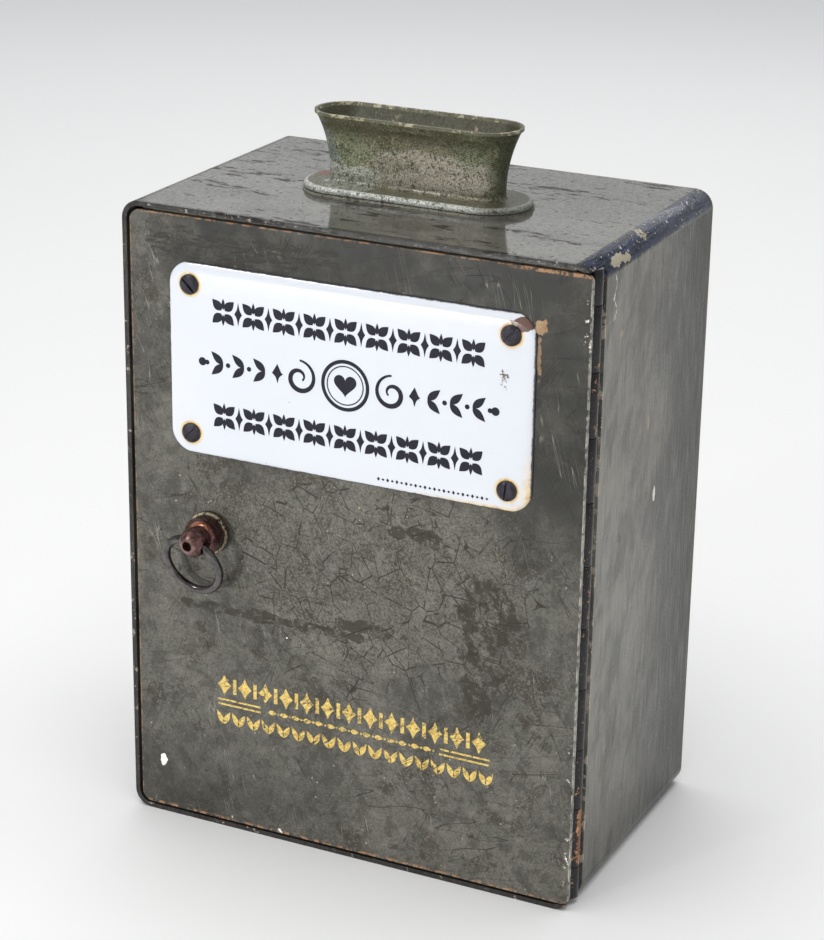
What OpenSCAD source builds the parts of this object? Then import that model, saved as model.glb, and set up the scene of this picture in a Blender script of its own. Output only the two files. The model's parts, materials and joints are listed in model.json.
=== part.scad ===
// Donation box: a sheet-steel case with a piano-hinged door, a cast coin mouth on its top
// and a lock worked by a small turn knob that carries a pull ring.
// +Z is up, -Y is the front and +X is the hinge side. The origin is the centre of the base.

/* [Case] */
// Width of the case from side to side
case_w = 200; // [190:1:215]
// Depth of the case from front to back
case_d = 126; // [120:1:140]
// Height of the case without the coin mouth
case_h = 265.4; // [260:0.2:275]
// Thickness of the sheet steel
sheet = 2; // [1.8:0.1:2.2]
// Outer radius of the four long bends
bend_r = 7.5; // [6:0.5:9]
// Depth of the notch in the right side for the hinge
notch_d = 12.8; // [12.6:0.1:14]
// Height left on the case above and below the notch
notch_end = 2.6; // [2.4:0.1:3]
// Width of the strips that the door shuts against
stop_w = 6; // [5:0.5:6]
// Thickness of those strips
stop_t = 1.5; // [1:0.1:2]

/* [Door] */
// Gap between the case and the door's free edge
door_gap_side = 1.5; // [1:0.1:2]
// Gap between the case and the door's top edge
door_gap_top = 1.3; // [1:0.1:2]
// Gap between the case and the door's bottom edge
door_gap_bottom = 1; // [0.8:0.1:1.2]
// Distance from the door's hinged edge to the case's side
door_gap_hinge = 0.5; // [0.3:0.1:1]
// Radius of the door's corners at its free edge
door_r_free = 4.5; // [3:0.5:6]
// Radius of the door's corners at its hinged edge
door_r_hinge = 3; // [2:0.5:4]
// Width of the bars of the frame behind the door
bar_w = 12; // [10:1:12]
// Width of the bar that holds the hinge
hinge_bar_w = 18; // [16:1:18]
// Thickness of the frame's bars
bar_t = 3.7; // [3.5:0.1:3.8]

/* [Hinge] */
// Outer radius of the hinge's knuckles
knuckle_r = 3; // [2.8:0.1:3.2]
// Height of one full knuckle
knuckle_h = 25.8; // [25:0.1:26]
// Number of full knuckles between the two short ones
knuckle_count = 9; // [9:2:9]
// Distance from the hinge's axis to the case's front plane
hinge_back = 8.7; // [8.6:0.1:8.9]
// Radius of the hinge pin
pin_r = 1.2; // [1:0.1:1.4]
// Thickness of the hinge's leaves
leaf_t = 1.2; // [1:0.1:1.2]
// Width of the hinge's leaves, without the knuckles
leaf_w = 16; // [14:1:16]
// Number of rivets in each leaf
leaf_rivets = 6; // [4:1:8]

/* [Enamel plate] */
// Width of the enamel plate
plate_w = 157; // [140:1:160]
// Height of the enamel plate
plate_h = 79; // [70:1:82]
// Height of the plate's middle above the base
plate_z = 204.7; // [200:0.1:208]
// Thickness of the plate
plate_t = 1.4; // [1:0.1:2]
// Radius of the plate's corners
plate_r = 10; // [6:1:14]
// Width between the middles of its screws
plate_screw_w = 137.4; // [130:0.2:138]
// Height between the middles of its screws
plate_screw_h = 61.4; // [50:0.2:62]
// Diameter of the plate screws' heads
screw_head_d = 8.2; // [7:0.1:9]
// Height of the plate screws' heads
screw_head_h = 1.9; // [1.5:0.1:2.5]

/* [Coin mouth] */
// Length of the straight middle of the mouth and its flange
mouth_straight = 62; // [56:1:64]
// Distance of the mouth's middle in front of the case's middle
mouth_forward = 3.8; // [0:0.1:8]
// Height of the lip above the case
mouth_h = 32; // [28:1:36]
// Half width of the flange
flange_r = 18; // [17:0.5:22]
// Thickness of the flange
flange_t = 3.4; // [3:0.1:4]
// Half width of the neck, just above the flange
neck_r = 6.8; // [6.5:0.1:9]
// Half width of the lip
lip_r = 13.2; // [12:0.1:17]
// Thickness of the wall at the neck
neck_wall = 2.4; // [2:0.1:2.5]
// Thickness of the wall at the lip
lip_wall = 1.2; // [1:0.1:2]
// Height of the upright band round the lip
lip_band = 1.2; // [0.8:0.1:2.5]

/* [Knob and ring] */
// Distance of the knob's axis to the left of the case's middle
knob_left = 61.5; // [58:0.5:61.5]
// Height of the knob's axis above the base
knob_z = 132.4; // [125:0.1:140]
// Diameter of the ball
ball_d = 12; // [11:0.5:14]
// Distance from the door's face to the ball's middle
ball_out = 13.5; // [13:0.5:15]
// Radius of the collar behind the ball
collar_r = 8.1; // [7:0.1:9]
// Thickness of the collar
collar_t = 3.9; // [3:0.1:4]
// Radius of the escutcheon on the door
escutcheon_r = 8.7; // [8:0.1:10]
// Thickness of the escutcheon
escutcheon_t = 3; // [2.5:0.1:3.2]
// Tilt of the knob's cross hole from level, at rest
knob_tilt = 14; // [0:1:30]
// Radius of the ring, to the middle of its wire
ring_r = 12.6; // [12:0.1:14]
// Radius of the ring's wire
wire_r = 1.65; // [1.4:0.05:1.7]
// Lean of the hanging ring towards the door
ring_lean = 17.5; // [0:0.5:25]

/* [Lock] */
// Width of the lock case
lock_w = 42; // [42:1:44]
// Height of the lock case
lock_h = 40; // [40:1:44]
// Depth of the lock case, without its cover
lock_d = 18; // [18:0.5:20]
// Thickness of the lock case's plates
lock_sheet = 1.5; // [1.2:0.1:1.5]
// Radius that the crank pin runs on
crank_r = 4.4; // [4.2:0.1:4.4]
// Thickness of the bolt
bolt_t = 5; // [4:0.5:5]
// Height of the bolt
bolt_h = 18; // [16:1:18]
// Distance from the case's side to the drawn-back bolt
bolt_back = 9.8; // [9.8:0.1:10.2]

/* [Hidden] */
$fn = 64;

// Colours
paint = "#3b3a33";
bare_steel = "#77756f";
enamel = "#e8ecf2";
verdigris = "#6f7059";
copper = "#8a5138";
iron = "#2e2b2b";

over = 1;               // how far a cutter runs past the face it cuts
seam = 0.1;             // how far two joined shapes run into each other
turn_clear = 0.1;       // between faces that turn on each other
head_top = 0.7;         // a screw head's top, as a share of its width
hex_sides = 6;          // sides of a hexagon nut
square_sides = 4;       // sides of a square nut

// Case
front_y = -case_d / 2;
back_y = case_d / 2;
side_x = case_w / 2;
inner_x = side_x - sheet;
inner_top = case_h - sheet;
notch_y = front_y + notch_d;

// Door
door_left = door_gap_side - inner_x;
door_right = side_x - door_gap_hinge;
door_bottom = sheet + door_gap_bottom;
door_top = inner_top - door_gap_top;
door_back = front_y + sheet;
stop_clear = 0.2;       // between the shut door and its stops
stop_y = door_back + stop_clear;
stop_leg = 5.5;         // leg of the stops that lies on the case
stop_end = 1;           // free length past a stop's ends
stop_reach = side_x - bend_r - stop_end;
frame_clear = 0.5;      // between the frame and the stops
frame_left = stop_w + frame_clear - inner_x;
frame_bottom = sheet + stop_w + frame_clear;
frame_top = inner_top - stop_w - frame_clear;
frame_back = door_back + bar_t;

// Hinge
hinge_x = side_x - knuckle_r;
hinge_y = front_y + hinge_back;
hinge_clear = 0.2;      // at the hinge's ends
hinge_bottom = notch_end + hinge_clear;
hinge_top = case_h - notch_end - hinge_clear;
end_h = (hinge_top - hinge_bottom - knuckle_count * knuckle_h) / 2;
leaf_bend_clear = 0.5;  // between the case leaf and the case's bends
leaf_end = bend_r + leaf_bend_clear;
knuckle_gap = 0.3;      // between one knuckle and the next
knuckle_clear = 0.3;    // round a knuckle, to the other leaf
pin_clear = 0.05;       // between the pin and the knuckles that turn on it
frame_right = hinge_x - knuckle_r - 2 * knuckle_clear;
leaf_rivet_r = 1.6;
leaf_rivet_head_r = 2.8;
leaf_rivet_head_h = 1;
leaf_rivet_depth = 1.5; // how far a rivet runs into the bar or the side
rivet_margin = 20;      // from the hinge's ends to its first and last rivets
rivet_pitch = (hinge_top - hinge_bottom - 2 * rivet_margin) / (leaf_rivets - 1);

// Plate screws
plate_screw_r = 2;
plate_hole_r = 2.2;
plate_nut_w = 7;
plate_nut_t = 3;
plate_screw_end = 1;    // how far a plate screw runs past its nut
screw_slot_w = 1.1;
screw_slot_d = 0.9;
screw_edge = 1;         // height of a screw head's upright edge
slot_angles = [[-45, 45], [45, 85]];

// Coin mouth
mouth_y = -mouth_forward;
slot_r = neck_r - neck_wall;
slot_ease = 1;          // how much wider the case's slot is, all round
top_slot_r = slot_r + slot_ease;
foot_t = 0.7;
foot_step = 0.5;        // how far the flange's foot stands out
flange_edge_r = 1.6;
neck_h = 3;             // height of the upright part of the neck
fillet_r = 1.8;
flare_low = flange_t + neck_h;
flare_h = mouth_h - flare_low;
outer_rise = lip_r - neck_r;
outer_flare_r = (pow(flare_h, 2) + pow(outer_rise, 2)) / (2 * outer_rise);
inner_rise = lip_r - lip_wall - slot_r;
inner_flare_r = (pow(flare_h, 2) + pow(inner_rise, 2)) / (2 * inner_rise);
stud_r = 2.5;
stud_hole_r = 2.7;
stud_spread_x = 42.5;
stud_spread_y = 13.6;
stud_spots = [
    [stud_spread_x, 0], [-stud_spread_x, 0], [0, stud_spread_y], [0, -stud_spread_y]
];
stud_in = 2;            // how far a stud runs up into the flange
stud_below = 6.5;       // how far it runs below the top sheet
nut_r = 4.6;
nut_t = 4;

// Coin chute
chute_sheet = 1.2;
chute_flange_r = 18.4;
chute_in_w = 72;
chute_in_d = 12;
chute_out_w = chute_in_w + 2 * chute_sheet;
chute_out_d = chute_in_d + 2 * chute_sheet;
chute_h = 28;
chute_bottom = inner_top - chute_h;
cheek_d = 24;
cheek_h = 42;
cheek_drop = 12;
cheek_top = inner_top - cheek_drop;
cheek_x = chute_out_w / 2;
baffle_tilt = 32;
baffle_rise = 13;       // from the cheeks' bottom to the baffle's middle
baffle_z = cheek_top - cheek_h + baffle_rise;
baffle_d = 26;
baffle_rivet_r = 1.5;
baffle_head_r = 2.6;
baffle_head_h = 1.1;
baffle_rivet_drop = 6;
baffle_rivet_spread = 4;

// Lock
knob_x = -knob_left;
throw = 2 * crank_r * sin(45);
lock_left = frame_left + bar_w + frame_clear;
lock_front = door_back;
lock_back = lock_front + lock_d;
bush_r = 5.5;
bush_nut_r = 8.5;
bush_nut_t = 2.3;
bush_back = lock_front + lock_sheet + bush_nut_t;
spindle_r = 4;
spindle_clear = 0.05;
crank_disc_r = 7;
crank_disc_t = 3;
crank_disc_y = bush_back + 2 * turn_clear;
bolt_gap = 1.5;         // from the crank to the bolt
bolt_y = crank_disc_y + crank_disc_t + bolt_gap;
bolt_tail = 49;         // length of the bolt
bolt_x = -side_x + bolt_back;
bolt_clear = 0.1;       // round the bolt in the lock case's wall
crank_pin_r = 1.8;
crank_slot_clear = 0.3;
crank_slot_end = 0.5;   // spare height at the crank slot's ends
crank_pin_proud = 0.5;
crank_pin_back = bolt_y + bolt_t + crank_pin_proud;
guide_right = 9.5;      // from the knob's axis to the guide stud
guide_low = 5;
stud_x = knob_x + guide_right;
stud_z = knob_z - guide_low;
guide_r = 2;
guide_clear = 0.1;
pillar_r = 3;
pillar_in = 4;
pillar_rise = 16;
cover_t = 1.5;
cover_screw_r = 1.4;
cover_screw_in = 6;
cover_head_r = 2.6;
cover_head_h = 1.5;
cover_slot_w = 0.8;
cover_slot_d = 0.7;
pillar_spots = [
    [lock_left + pillar_in, knob_z - pillar_rise],
    [lock_left + pillar_in, knob_z + pillar_rise],
    [lock_left + lock_w - pillar_in, knob_z - pillar_rise],
    [lock_left + lock_w - pillar_in, knob_z + pillar_rise]
];
spring_right = 2.5;     // from the knob's axis to the spring's middle
spring_x = knob_x + spring_right;
spring_t = 0.5;
spring_w = 4;
spring_half = 11;
spring_top = knob_z + lock_h / 2 - lock_sheet;
spring_clear = 0.05;    // between the spring and the bolt
spring_sag = spring_top - (knob_z + bolt_h / 2) - spring_clear;
spring_r = (pow(spring_half, 2) + pow(spring_sag, 2)) / (2 * spring_sag);

// Strike
strike_t = 1.8;
strike_wall_t = 1.2;
strike_h = 32;
strike_d = 14;
strike_reach = 7.1;
strike_clear = 0.7;     // between the thrown bolt and the strike
strike_y = bolt_y - strike_clear - strike_t;
strike_rivet_spread = 12;
strike_rivet_in = 6;
strike_rivet_y = strike_y + strike_t + strike_rivet_in;

// Knob
ball_r = ball_d / 2;
ball_y = front_y - ball_out;
collar_y = front_y - escutcheon_t - turn_clear;
knob_neck_r = 4.6;
knob_root = 1;          // how much wider the neck is at the collar
cove_r = 1.5;           // of the hollow between the collar and the neck
cove_out = 0.4;
nose_hole_r = 2.1;
nose_hole_d = 3.4;
nose_flat = 0.35;       // how much of the ball's nose is cut flat
tenon_w = 5;
tenon_in = 3.2;
tenon_root = 0.5;       // how far the tenon runs into the spindle
tenon_clear = 0.1;
cross_r = 1.8;
cross_mouth_r = 3.5;
cross_straight = 1.6;
cross_over = 0.3;       // how far the cross hole's flare passes the ball
knob_pin_r = 0.6;
knob_pin_sunk = 0.3;    // how far its ends lie below the collar's edge
knob_pin_in = 2;
knob_pin_y = collar_y - knob_pin_in;

// One of the x or y signs for things that sit on both sides
sides = [-1, 1];

// A rectangle with round corners, its radii given for its left and right sides
module rounded_plate(x0, x1, z0, z1, r_left, r_right) {
    union() {
        translate([x0 + r_left, z0]) square([x1 - r_right - x0 - r_left, z1 - z0]);
        translate([x0, z0 + r_left]) square([r_left, z1 - z0 - 2 * r_left]);
        translate([x1 - r_right, z0 + r_right]) square([r_right, z1 - z0 - 2 * r_right]);
        for (z = [z0 + r_left, z1 - r_left]) translate([x0 + r_left, z]) circle(r_left);
        for (z = [z0 + r_right, z1 - r_right]) translate([x1 - r_right, z]) circle(r_right);
    }
}

// Stands a drawing made in x and z upright, from y0 back to y1
module upright(y0, y1) {
    translate([0, y1, 0]) rotate([90, 0, 0]) linear_extrude(y1 - y0) children();
}

// A cylinder along +Y from y0 to y1
module along_y(x, z, r, y0, y1, sides_n = $fn) {
    translate([x, y0, z]) rotate([-90, 0, 0]) cylinder(h = y1 - y0, r = r, $fn = sides_n);
}

// A cylinder along +X from x0 to x1
module along_x(y, z, r, x0, x1) {
    translate([x0, y, z]) rotate([0, 90, 0]) cylinder(h = x1 - x0, r = r);
}

// A box from its lowest to its highest corner
module box(low, high) {
    translate(low) cube(high - low);
}

// A round-ended slab, straight along x, from z0 to z1
module stadium(r, z0, z1) {
    translate([0, mouth_y, z0]) linear_extrude(z1 - z0) union() {
        square([mouth_straight, 2 * r], center = true);
        for (s = sides) translate([s * mouth_straight / 2, 0]) circle(r);
    }
}

// Sweeps a section, drawn as distance and height, round a stadium
module stadium_sweep() {
    translate([0, mouth_y, case_h]) union() {
        for (s = sides) translate([s * mouth_straight / 2, 0, 0])
            rotate([0, 0, -90 * s]) rotate_extrude(angle = 180) children();
        for (a = [0, 180]) rotate([0, 0, a]) translate([mouth_straight / 2, 0, 0])
            rotate([90, 0, -90]) linear_extrude(mouth_straight) children();
    }
}

// Section of the coin mouth: a footed flange, a neck, a curved flare and an upright lip
module mouth_section() {
    body_r = flange_r - foot_step;
    union() {
        translate([slot_r, 0]) square([flange_r - slot_r, foot_t]);
        translate([slot_r, 0]) square([body_r - slot_r, flange_t - flange_edge_r]);
        translate([slot_r, 0]) square([body_r - flange_edge_r - slot_r, flange_t]);
        translate([body_r - flange_edge_r, flange_t - flange_edge_r]) circle(flange_edge_r);
        translate([slot_r, flange_t - seam]) square([neck_wall, neck_h + seam]);
        difference() {
            translate([neck_r - seam, flange_t - seam])
                square([fillet_r + seam, fillet_r + seam]);
            translate([neck_r + fillet_r, flange_t + fillet_r]) circle(fillet_r);
        }
        difference() {
            intersection() {
                translate([0, flare_low - seam]) square([lip_r + over, flare_h + seam]);
                translate([slot_r + inner_flare_r, flare_low]) circle(inner_flare_r, $fn = 200);
            }
            translate([neck_r + outer_flare_r, flare_low]) circle(outer_flare_r, $fn = 200);
        }
        translate([lip_r - lip_wall, mouth_h - lip_band]) square([lip_wall, lip_band]);
    }
}

// ---- case ----

module case_outline(inset) {
    rounded_plate(-side_x + inset, side_x - inset, inset, case_h - inset,
        bend_r - inset, bend_r - inset);
}

module case_shell() {
    color(paint) difference() {
        upright(front_y, back_y) difference() {
            case_outline(0);
            case_outline(sheet);
        }
        box([side_x - bend_r - over, front_y - over, notch_end],
            [side_x + over, notch_y, case_h - notch_end]);
        stadium(top_slot_r, inner_top - over, case_h + over);
        for (p = stud_spots) translate([p.x, mouth_y + p.y, inner_top - over])
            cylinder(h = sheet + 2 * over, r = stud_hole_r);
        for (k = [0 : leaf_rivets - 1])
            along_x(notch_y + leaf_w / 2, hinge_bottom + rivet_margin + k * rivet_pitch,
                leaf_rivet_r, inner_x - over, inner_x + leaf_rivet_depth);
        for (s = sides) along_x(strike_rivet_y, knob_z + s * strike_rivet_spread,
            leaf_rivet_r, -inner_x - leaf_rivet_depth, -inner_x + over);
    }
}

module back_panel() {
    color(paint) upright(back_y - sheet, back_y) case_outline(sheet);
}

// Angle strip, its flat face to the door and its leg on the case's wall
module stop_strip(length) {
    linear_extrude(length) union() {
        square([stop_w, stop_t]);
        square([stop_t, stop_leg]);
    }
}

module door_stop_top() {
    color(paint) translate([-stop_reach, stop_y, inner_top]) rotate([0, 90, 0])
        stop_strip(2 * stop_reach);
}

module door_stop_bottom() {
    color(paint) translate([-stop_reach, stop_y, sheet]) mirror([0, 0, 1])
        rotate([0, 90, 0]) stop_strip(2 * stop_reach);
}

module door_stop_left() {
    length = case_h - 2 * (sheet + stop_w + stop_end);
    color(paint) translate([-inner_x, stop_y, (case_h - length) / 2]) stop_strip(length);
}

module strike_plate() {
    z0 = knob_z - strike_h / 2;
    z1 = knob_z + strike_h / 2;
    color(bare_steel) difference() {
        union() {
            box([-inner_x, strike_y, z0], [strike_reach - inner_x, strike_y + strike_t, z1]);
            box([-inner_x, strike_y, z0], [strike_wall_t - inner_x, strike_y + strike_d, z1]);
        }
        for (s = sides) along_x(strike_rivet_y, knob_z + s * strike_rivet_spread,
            leaf_rivet_r, -inner_x - over, strike_wall_t - inner_x + over);
    }
}

module strike_rivets() {
    face = strike_wall_t - inner_x;
    color(bare_steel) for (s = sides) union() {
        along_x(strike_rivet_y, knob_z + s * strike_rivet_spread, leaf_rivet_r,
            -inner_x - leaf_rivet_depth, face);
        along_x(strike_rivet_y, knob_z + s * strike_rivet_spread, leaf_rivet_head_r,
            face, face + leaf_rivet_head_h / 2);
    }
}

// ---- hinge ----

// The lowest and highest z of knuckle k, counted from the bottom
function knuckle_low(k) = k == 0 ? hinge_bottom
    : hinge_bottom + end_h + (k - 1) * knuckle_h + knuckle_gap / 2;
function knuckle_high(k) = k == knuckle_count + 1 ? hinge_top
    : hinge_bottom + end_h + k * knuckle_h - knuckle_gap / 2;

// Knuckles first, first + 2 and so on, of one leaf
module knuckles(first, r, grow) {
    for (k = [first : 2 : knuckle_count + 1])
        translate([hinge_x, hinge_y, knuckle_low(k) - grow])
            cylinder(h = knuckle_high(k) - knuckle_low(k) + 2 * grow, r = r);
}

module hinge_case_leaf() {
    color(bare_steel) difference() {
        union() {
            knuckles(0, knuckle_r, 0);
            box([inner_x - leaf_t, hinge_y + pin_r + pin_clear, leaf_end],
                [inner_x, notch_y + leaf_w, case_h - leaf_end]);
        }
        knuckles(1, knuckle_r + knuckle_clear, knuckle_gap);
        translate([hinge_x, hinge_y, hinge_bottom - over])
            cylinder(h = hinge_top - hinge_bottom + 2 * over, r = pin_r + pin_clear);
        for (k = [0 : leaf_rivets - 1])
            along_x(notch_y + leaf_w / 2, hinge_bottom + rivet_margin + k * rivet_pitch,
                leaf_rivet_r, inner_x - leaf_t - over, inner_x + over);
    }
}

module case_leaf_rivets() {
    y = notch_y + leaf_w / 2;
    color(bare_steel) for (k = [0 : leaf_rivets - 1]) {
        z = hinge_bottom + rivet_margin + k * rivet_pitch;
        union() {
            along_x(y, z, leaf_rivet_r, inner_x - leaf_t, inner_x + leaf_rivet_depth);
            along_x(y, z, leaf_rivet_head_r, inner_x - leaf_t - leaf_rivet_head_h,
                inner_x - leaf_t);
        }
    }
}

module hinge_door_leaf() {
    leaf_x = hinge_x - knuckle_r - leaf_w;
    color(bare_steel) difference() {
        union() {
            knuckles(1, knuckle_r, 0);
            box([leaf_x, frame_back, knuckle_low(1)],
                [hinge_x, frame_back + leaf_t, knuckle_high(knuckle_count)]);
        }
        knuckles(0, knuckle_r + knuckle_clear, knuckle_gap);
        translate([hinge_x, hinge_y, hinge_bottom - over])
            cylinder(h = hinge_top - hinge_bottom + 2 * over, r = pin_r + pin_clear);
        for (k = [0 : leaf_rivets - 1])
            along_y(leaf_x + leaf_w / 2, hinge_bottom + rivet_margin + k * rivet_pitch,
                leaf_rivet_r, frame_back - over, frame_back + leaf_t + over);
    }
}

module door_leaf_rivets() {
    x = hinge_x - knuckle_r - leaf_w / 2;
    face = frame_back + leaf_t;
    color(bare_steel) for (k = [0 : leaf_rivets - 1]) {
        z = hinge_bottom + rivet_margin + k * rivet_pitch;
        union() {
            along_y(x, z, leaf_rivet_r, frame_back - leaf_rivet_depth, face);
            along_y(x, z, leaf_rivet_head_r, face, face + leaf_rivet_head_h);
        }
    }
}

module hinge_pin() {
    color(bare_steel) translate([hinge_x, hinge_y, hinge_bottom])
        cylinder(h = hinge_top - hinge_bottom, r = pin_r);
}

// ---- coin mouth and chute ----

module coin_mouth() {
    color(verdigris) difference() {
        stadium_sweep() mouth_section();
        for (p = stud_spots) translate([p.x, mouth_y + p.y, case_h - over])
            cylinder(h = stud_in + over, r = stud_r);
    }
}

module mouth_studs() {
    color(bare_steel) for (p = stud_spots)
        translate([p.x, mouth_y + p.y, inner_top - stud_below])
            cylinder(h = stud_below + sheet + stud_in, r = stud_r);
}

module mouth_nuts() {
    color(bare_steel) for (p = stud_spots)
        translate([p.x, mouth_y + p.y, inner_top - chute_sheet - nut_t]) difference() {
            cylinder(h = nut_t, r = nut_r, $fn = hex_sides);
            translate([0, 0, -over]) cylinder(h = nut_t + 2 * over, r = stud_r);
        }
}

module coin_chute() {
    color(bare_steel) difference() {
        union() {
            stadium(chute_flange_r, inner_top - chute_sheet, inner_top);
            box([-chute_out_w / 2, mouth_y - chute_out_d / 2, chute_bottom],
                [chute_out_w / 2, mouth_y + chute_out_d / 2, inner_top]);
        }
        box([-chute_in_w / 2, mouth_y - chute_in_d / 2, chute_bottom - over],
            [chute_in_w / 2, mouth_y + chute_in_d / 2, inner_top + over]);
        for (p = stud_spots)
            translate([p.x, mouth_y + p.y, inner_top - chute_sheet - over])
                cylinder(h = chute_sheet + 2 * over, r = stud_hole_r);
        baffle_rivet_holes();
    }
}

module baffle_rivet_holes() {
    reach = cheek_x + chute_sheet + over;
    for (s = sides) along_x(mouth_y + s * baffle_rivet_spread,
        cheek_top - baffle_rivet_drop, baffle_rivet_r, -reach, reach);
}

module chute_baffle() {
    color(bare_steel) difference() {
        union() {
            for (s = sides) translate([s * (cheek_x + chute_sheet / 2) - chute_sheet / 2,
                mouth_y - cheek_d / 2, cheek_top - cheek_h])
                cube([chute_sheet, cheek_d, cheek_h]);
            translate([0, mouth_y, baffle_z]) rotate([baffle_tilt, 0, 0])
                cube([2 * cheek_x + chute_sheet, baffle_d, chute_sheet], center = true);
        }
        baffle_rivet_holes();
    }
}

module baffle_rivets() {
    inside = chute_in_w / 2;
    outside = cheek_x + chute_sheet;
    color(bare_steel) for (s = sides) for (t = sides) {
        y = mouth_y + t * baffle_rivet_spread;
        z = cheek_top - baffle_rivet_drop;
        mirror([s < 0 ? 1 : 0, 0, 0]) union() {
            along_x(y, z, baffle_rivet_r, inside, outside);
            along_x(y, z, baffle_head_r, outside, outside + baffle_head_h);
        }
    }
}

// ---- door ----

module plate_screw_spots() {
    for (i = [0, 1]) for (j = [0, 1])
        translate([sides[i] * plate_screw_w / 2, 0, plate_z + sides[j] * plate_screw_h / 2])
            rotate([0, -slot_angles[i][1 - j], 0]) children();
}

module door_panel() {
    color(paint) difference() {
        upright(front_y, door_back) rounded_plate(door_left, door_right, door_bottom,
            door_top, door_r_free, door_r_hinge);
        plate_screw_spots() along_y(0, 0, plate_hole_r, front_y - over, door_back + over);
        along_y(knob_x, knob_z, bush_r, front_y - over, door_back + over);
    }
}

module door_frame() {
    color(paint) difference() {
        box([frame_left, door_back, frame_bottom], [frame_right, frame_back, frame_top]);
        box([frame_left + bar_w, door_back - over, frame_bottom + bar_w],
            [frame_right - hinge_bar_w, frame_back + over, frame_top - bar_w]);
        for (k = [0 : leaf_rivets - 1])
            along_y(hinge_x - knuckle_r - leaf_w / 2,
                hinge_bottom + rivet_margin + k * rivet_pitch,
                leaf_rivet_r, frame_back - leaf_rivet_depth, frame_back + over);
    }
}

module name_plate() {
    color(enamel) difference() {
        upright(front_y - plate_t, front_y) rounded_plate(-plate_w / 2, plate_w / 2,
            plate_z - plate_h / 2, plate_z + plate_h / 2, plate_r, plate_r);
        plate_screw_spots() along_y(0, 0, plate_hole_r, front_y - plate_t - over,
            front_y + over);
    }
}

// A round screw head that narrows to a flat top, slotted across, its seat at y = 0
module slotted_head(d, h, edge, slot_w, slot_d) {
    difference() {
        rotate([90, 0, 0]) union() {
            cylinder(h = edge, r = d / 2);
            translate([0, 0, edge]) cylinder(h = h - edge, r1 = d / 2, r2 = head_top * d / 2);
        }
        translate([-d, -h - over, -slot_w / 2]) cube([2 * d, slot_d + over, slot_w]);
    }
}

module plate_screws() {
    seat = front_y - plate_t;
    color(iron) plate_screw_spots() union() {
        translate([0, seat, 0])
            slotted_head(screw_head_d, screw_head_h, screw_edge, screw_slot_w, screw_slot_d);
        along_y(0, 0, plate_screw_r, seat, door_back + plate_nut_t + plate_screw_end);
    }
}

module plate_nuts() {
    color(bare_steel) plate_screw_spots() difference() {
        along_y(0, 0, plate_nut_w / sqrt(2), door_back, door_back + plate_nut_t,
            square_sides);
        along_y(0, 0, plate_screw_r, door_back - over, door_back + plate_nut_t + over);
    }
}

module escutcheon() {
    color(copper) difference() {
        union() {
            along_y(knob_x, knob_z, escutcheon_r, front_y - escutcheon_t, front_y);
            along_y(knob_x, knob_z, bush_r, front_y - escutcheon_t / 2, bush_back);
        }
        along_y(knob_x, knob_z, spindle_r + spindle_clear,
            front_y - escutcheon_t - over, bush_back + over);
    }
}

module escutcheon_nut() {
    y0 = lock_front + lock_sheet;
    color(copper) difference() {
        along_y(knob_x, knob_z, bush_nut_r, y0, bush_back, hex_sides);
        along_y(knob_x, knob_z, bush_r, y0 - over, bush_back + over);
    }
}

// ---- lock ----

module lock_case() {
    z0 = knob_z - lock_h / 2;
    z1 = knob_z + lock_h / 2;
    color(iron) difference() {
        union() {
            difference() {
                box([lock_left, lock_front, z0], [lock_left + lock_w, lock_back, z1]);
                box([lock_left + lock_sheet, lock_front + lock_sheet, z0 + lock_sheet],
                    [lock_left + lock_w - lock_sheet, lock_back + over, z1 - lock_sheet]);
            }
            for (p = pillar_spots)
                along_y(p.x, p.y, pillar_r, lock_front + lock_sheet - seam, lock_back);
        }
        along_y(knob_x, knob_z, bush_r, lock_front - over, lock_front + lock_sheet + over);
        along_y(stud_x, stud_z, guide_r, lock_front - over, lock_front + lock_sheet + over);
        box([lock_left - over, bolt_y - bolt_clear, knob_z - bolt_h / 2 - bolt_clear],
            [lock_left + lock_sheet + over, bolt_y + bolt_t + bolt_clear,
            knob_z + bolt_h / 2 + bolt_clear]);
        for (p = pillar_spots)
            along_y(p.x, p.y, cover_screw_r, lock_back - cover_screw_in, lock_back + over);
    }
}

module lock_cover() {
    color(iron) difference() {
        box([lock_left, lock_back, knob_z - lock_h / 2],
            [lock_left + lock_w, lock_back + cover_t, knob_z + lock_h / 2]);
        for (p = pillar_spots)
            along_y(p.x, p.y, cover_screw_r, lock_back - over, lock_back + cover_t + over);
    }
}

module cover_screws() {
    face = lock_back + cover_t;
    color(bare_steel) for (p = pillar_spots) union() {
        translate([p.x, face, p.y]) rotate([180, 0, 0])
            slotted_head(2 * cover_head_r, cover_head_h, cover_head_h / 2,
                cover_slot_w, cover_slot_d);
        along_y(p.x, p.y, cover_screw_r, lock_back - cover_screw_in, face);
    }
}

module guide_stud() {
    color(bare_steel) along_y(stud_x, stud_z, guide_r, lock_front, lock_back);
}

// Bow spring between the lock case's top and the bolt
module bolt_spring() {
    bow_z = spring_top - spring_sag + spring_r;
    y0 = bolt_y + (bolt_t - spring_w) / 2;
    color(bare_steel) intersection() {
        difference() {
            along_y(spring_x, bow_z, spring_r, y0, y0 + spring_w);
            along_y(spring_x, bow_z, spring_r - spring_t, y0 - over, y0 + spring_w + over);
        }
        box([spring_x - spring_half - over, y0, spring_top - spring_sag - over],
            [spring_x + spring_half + over, y0 + spring_w, spring_top]);
    }
}

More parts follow.
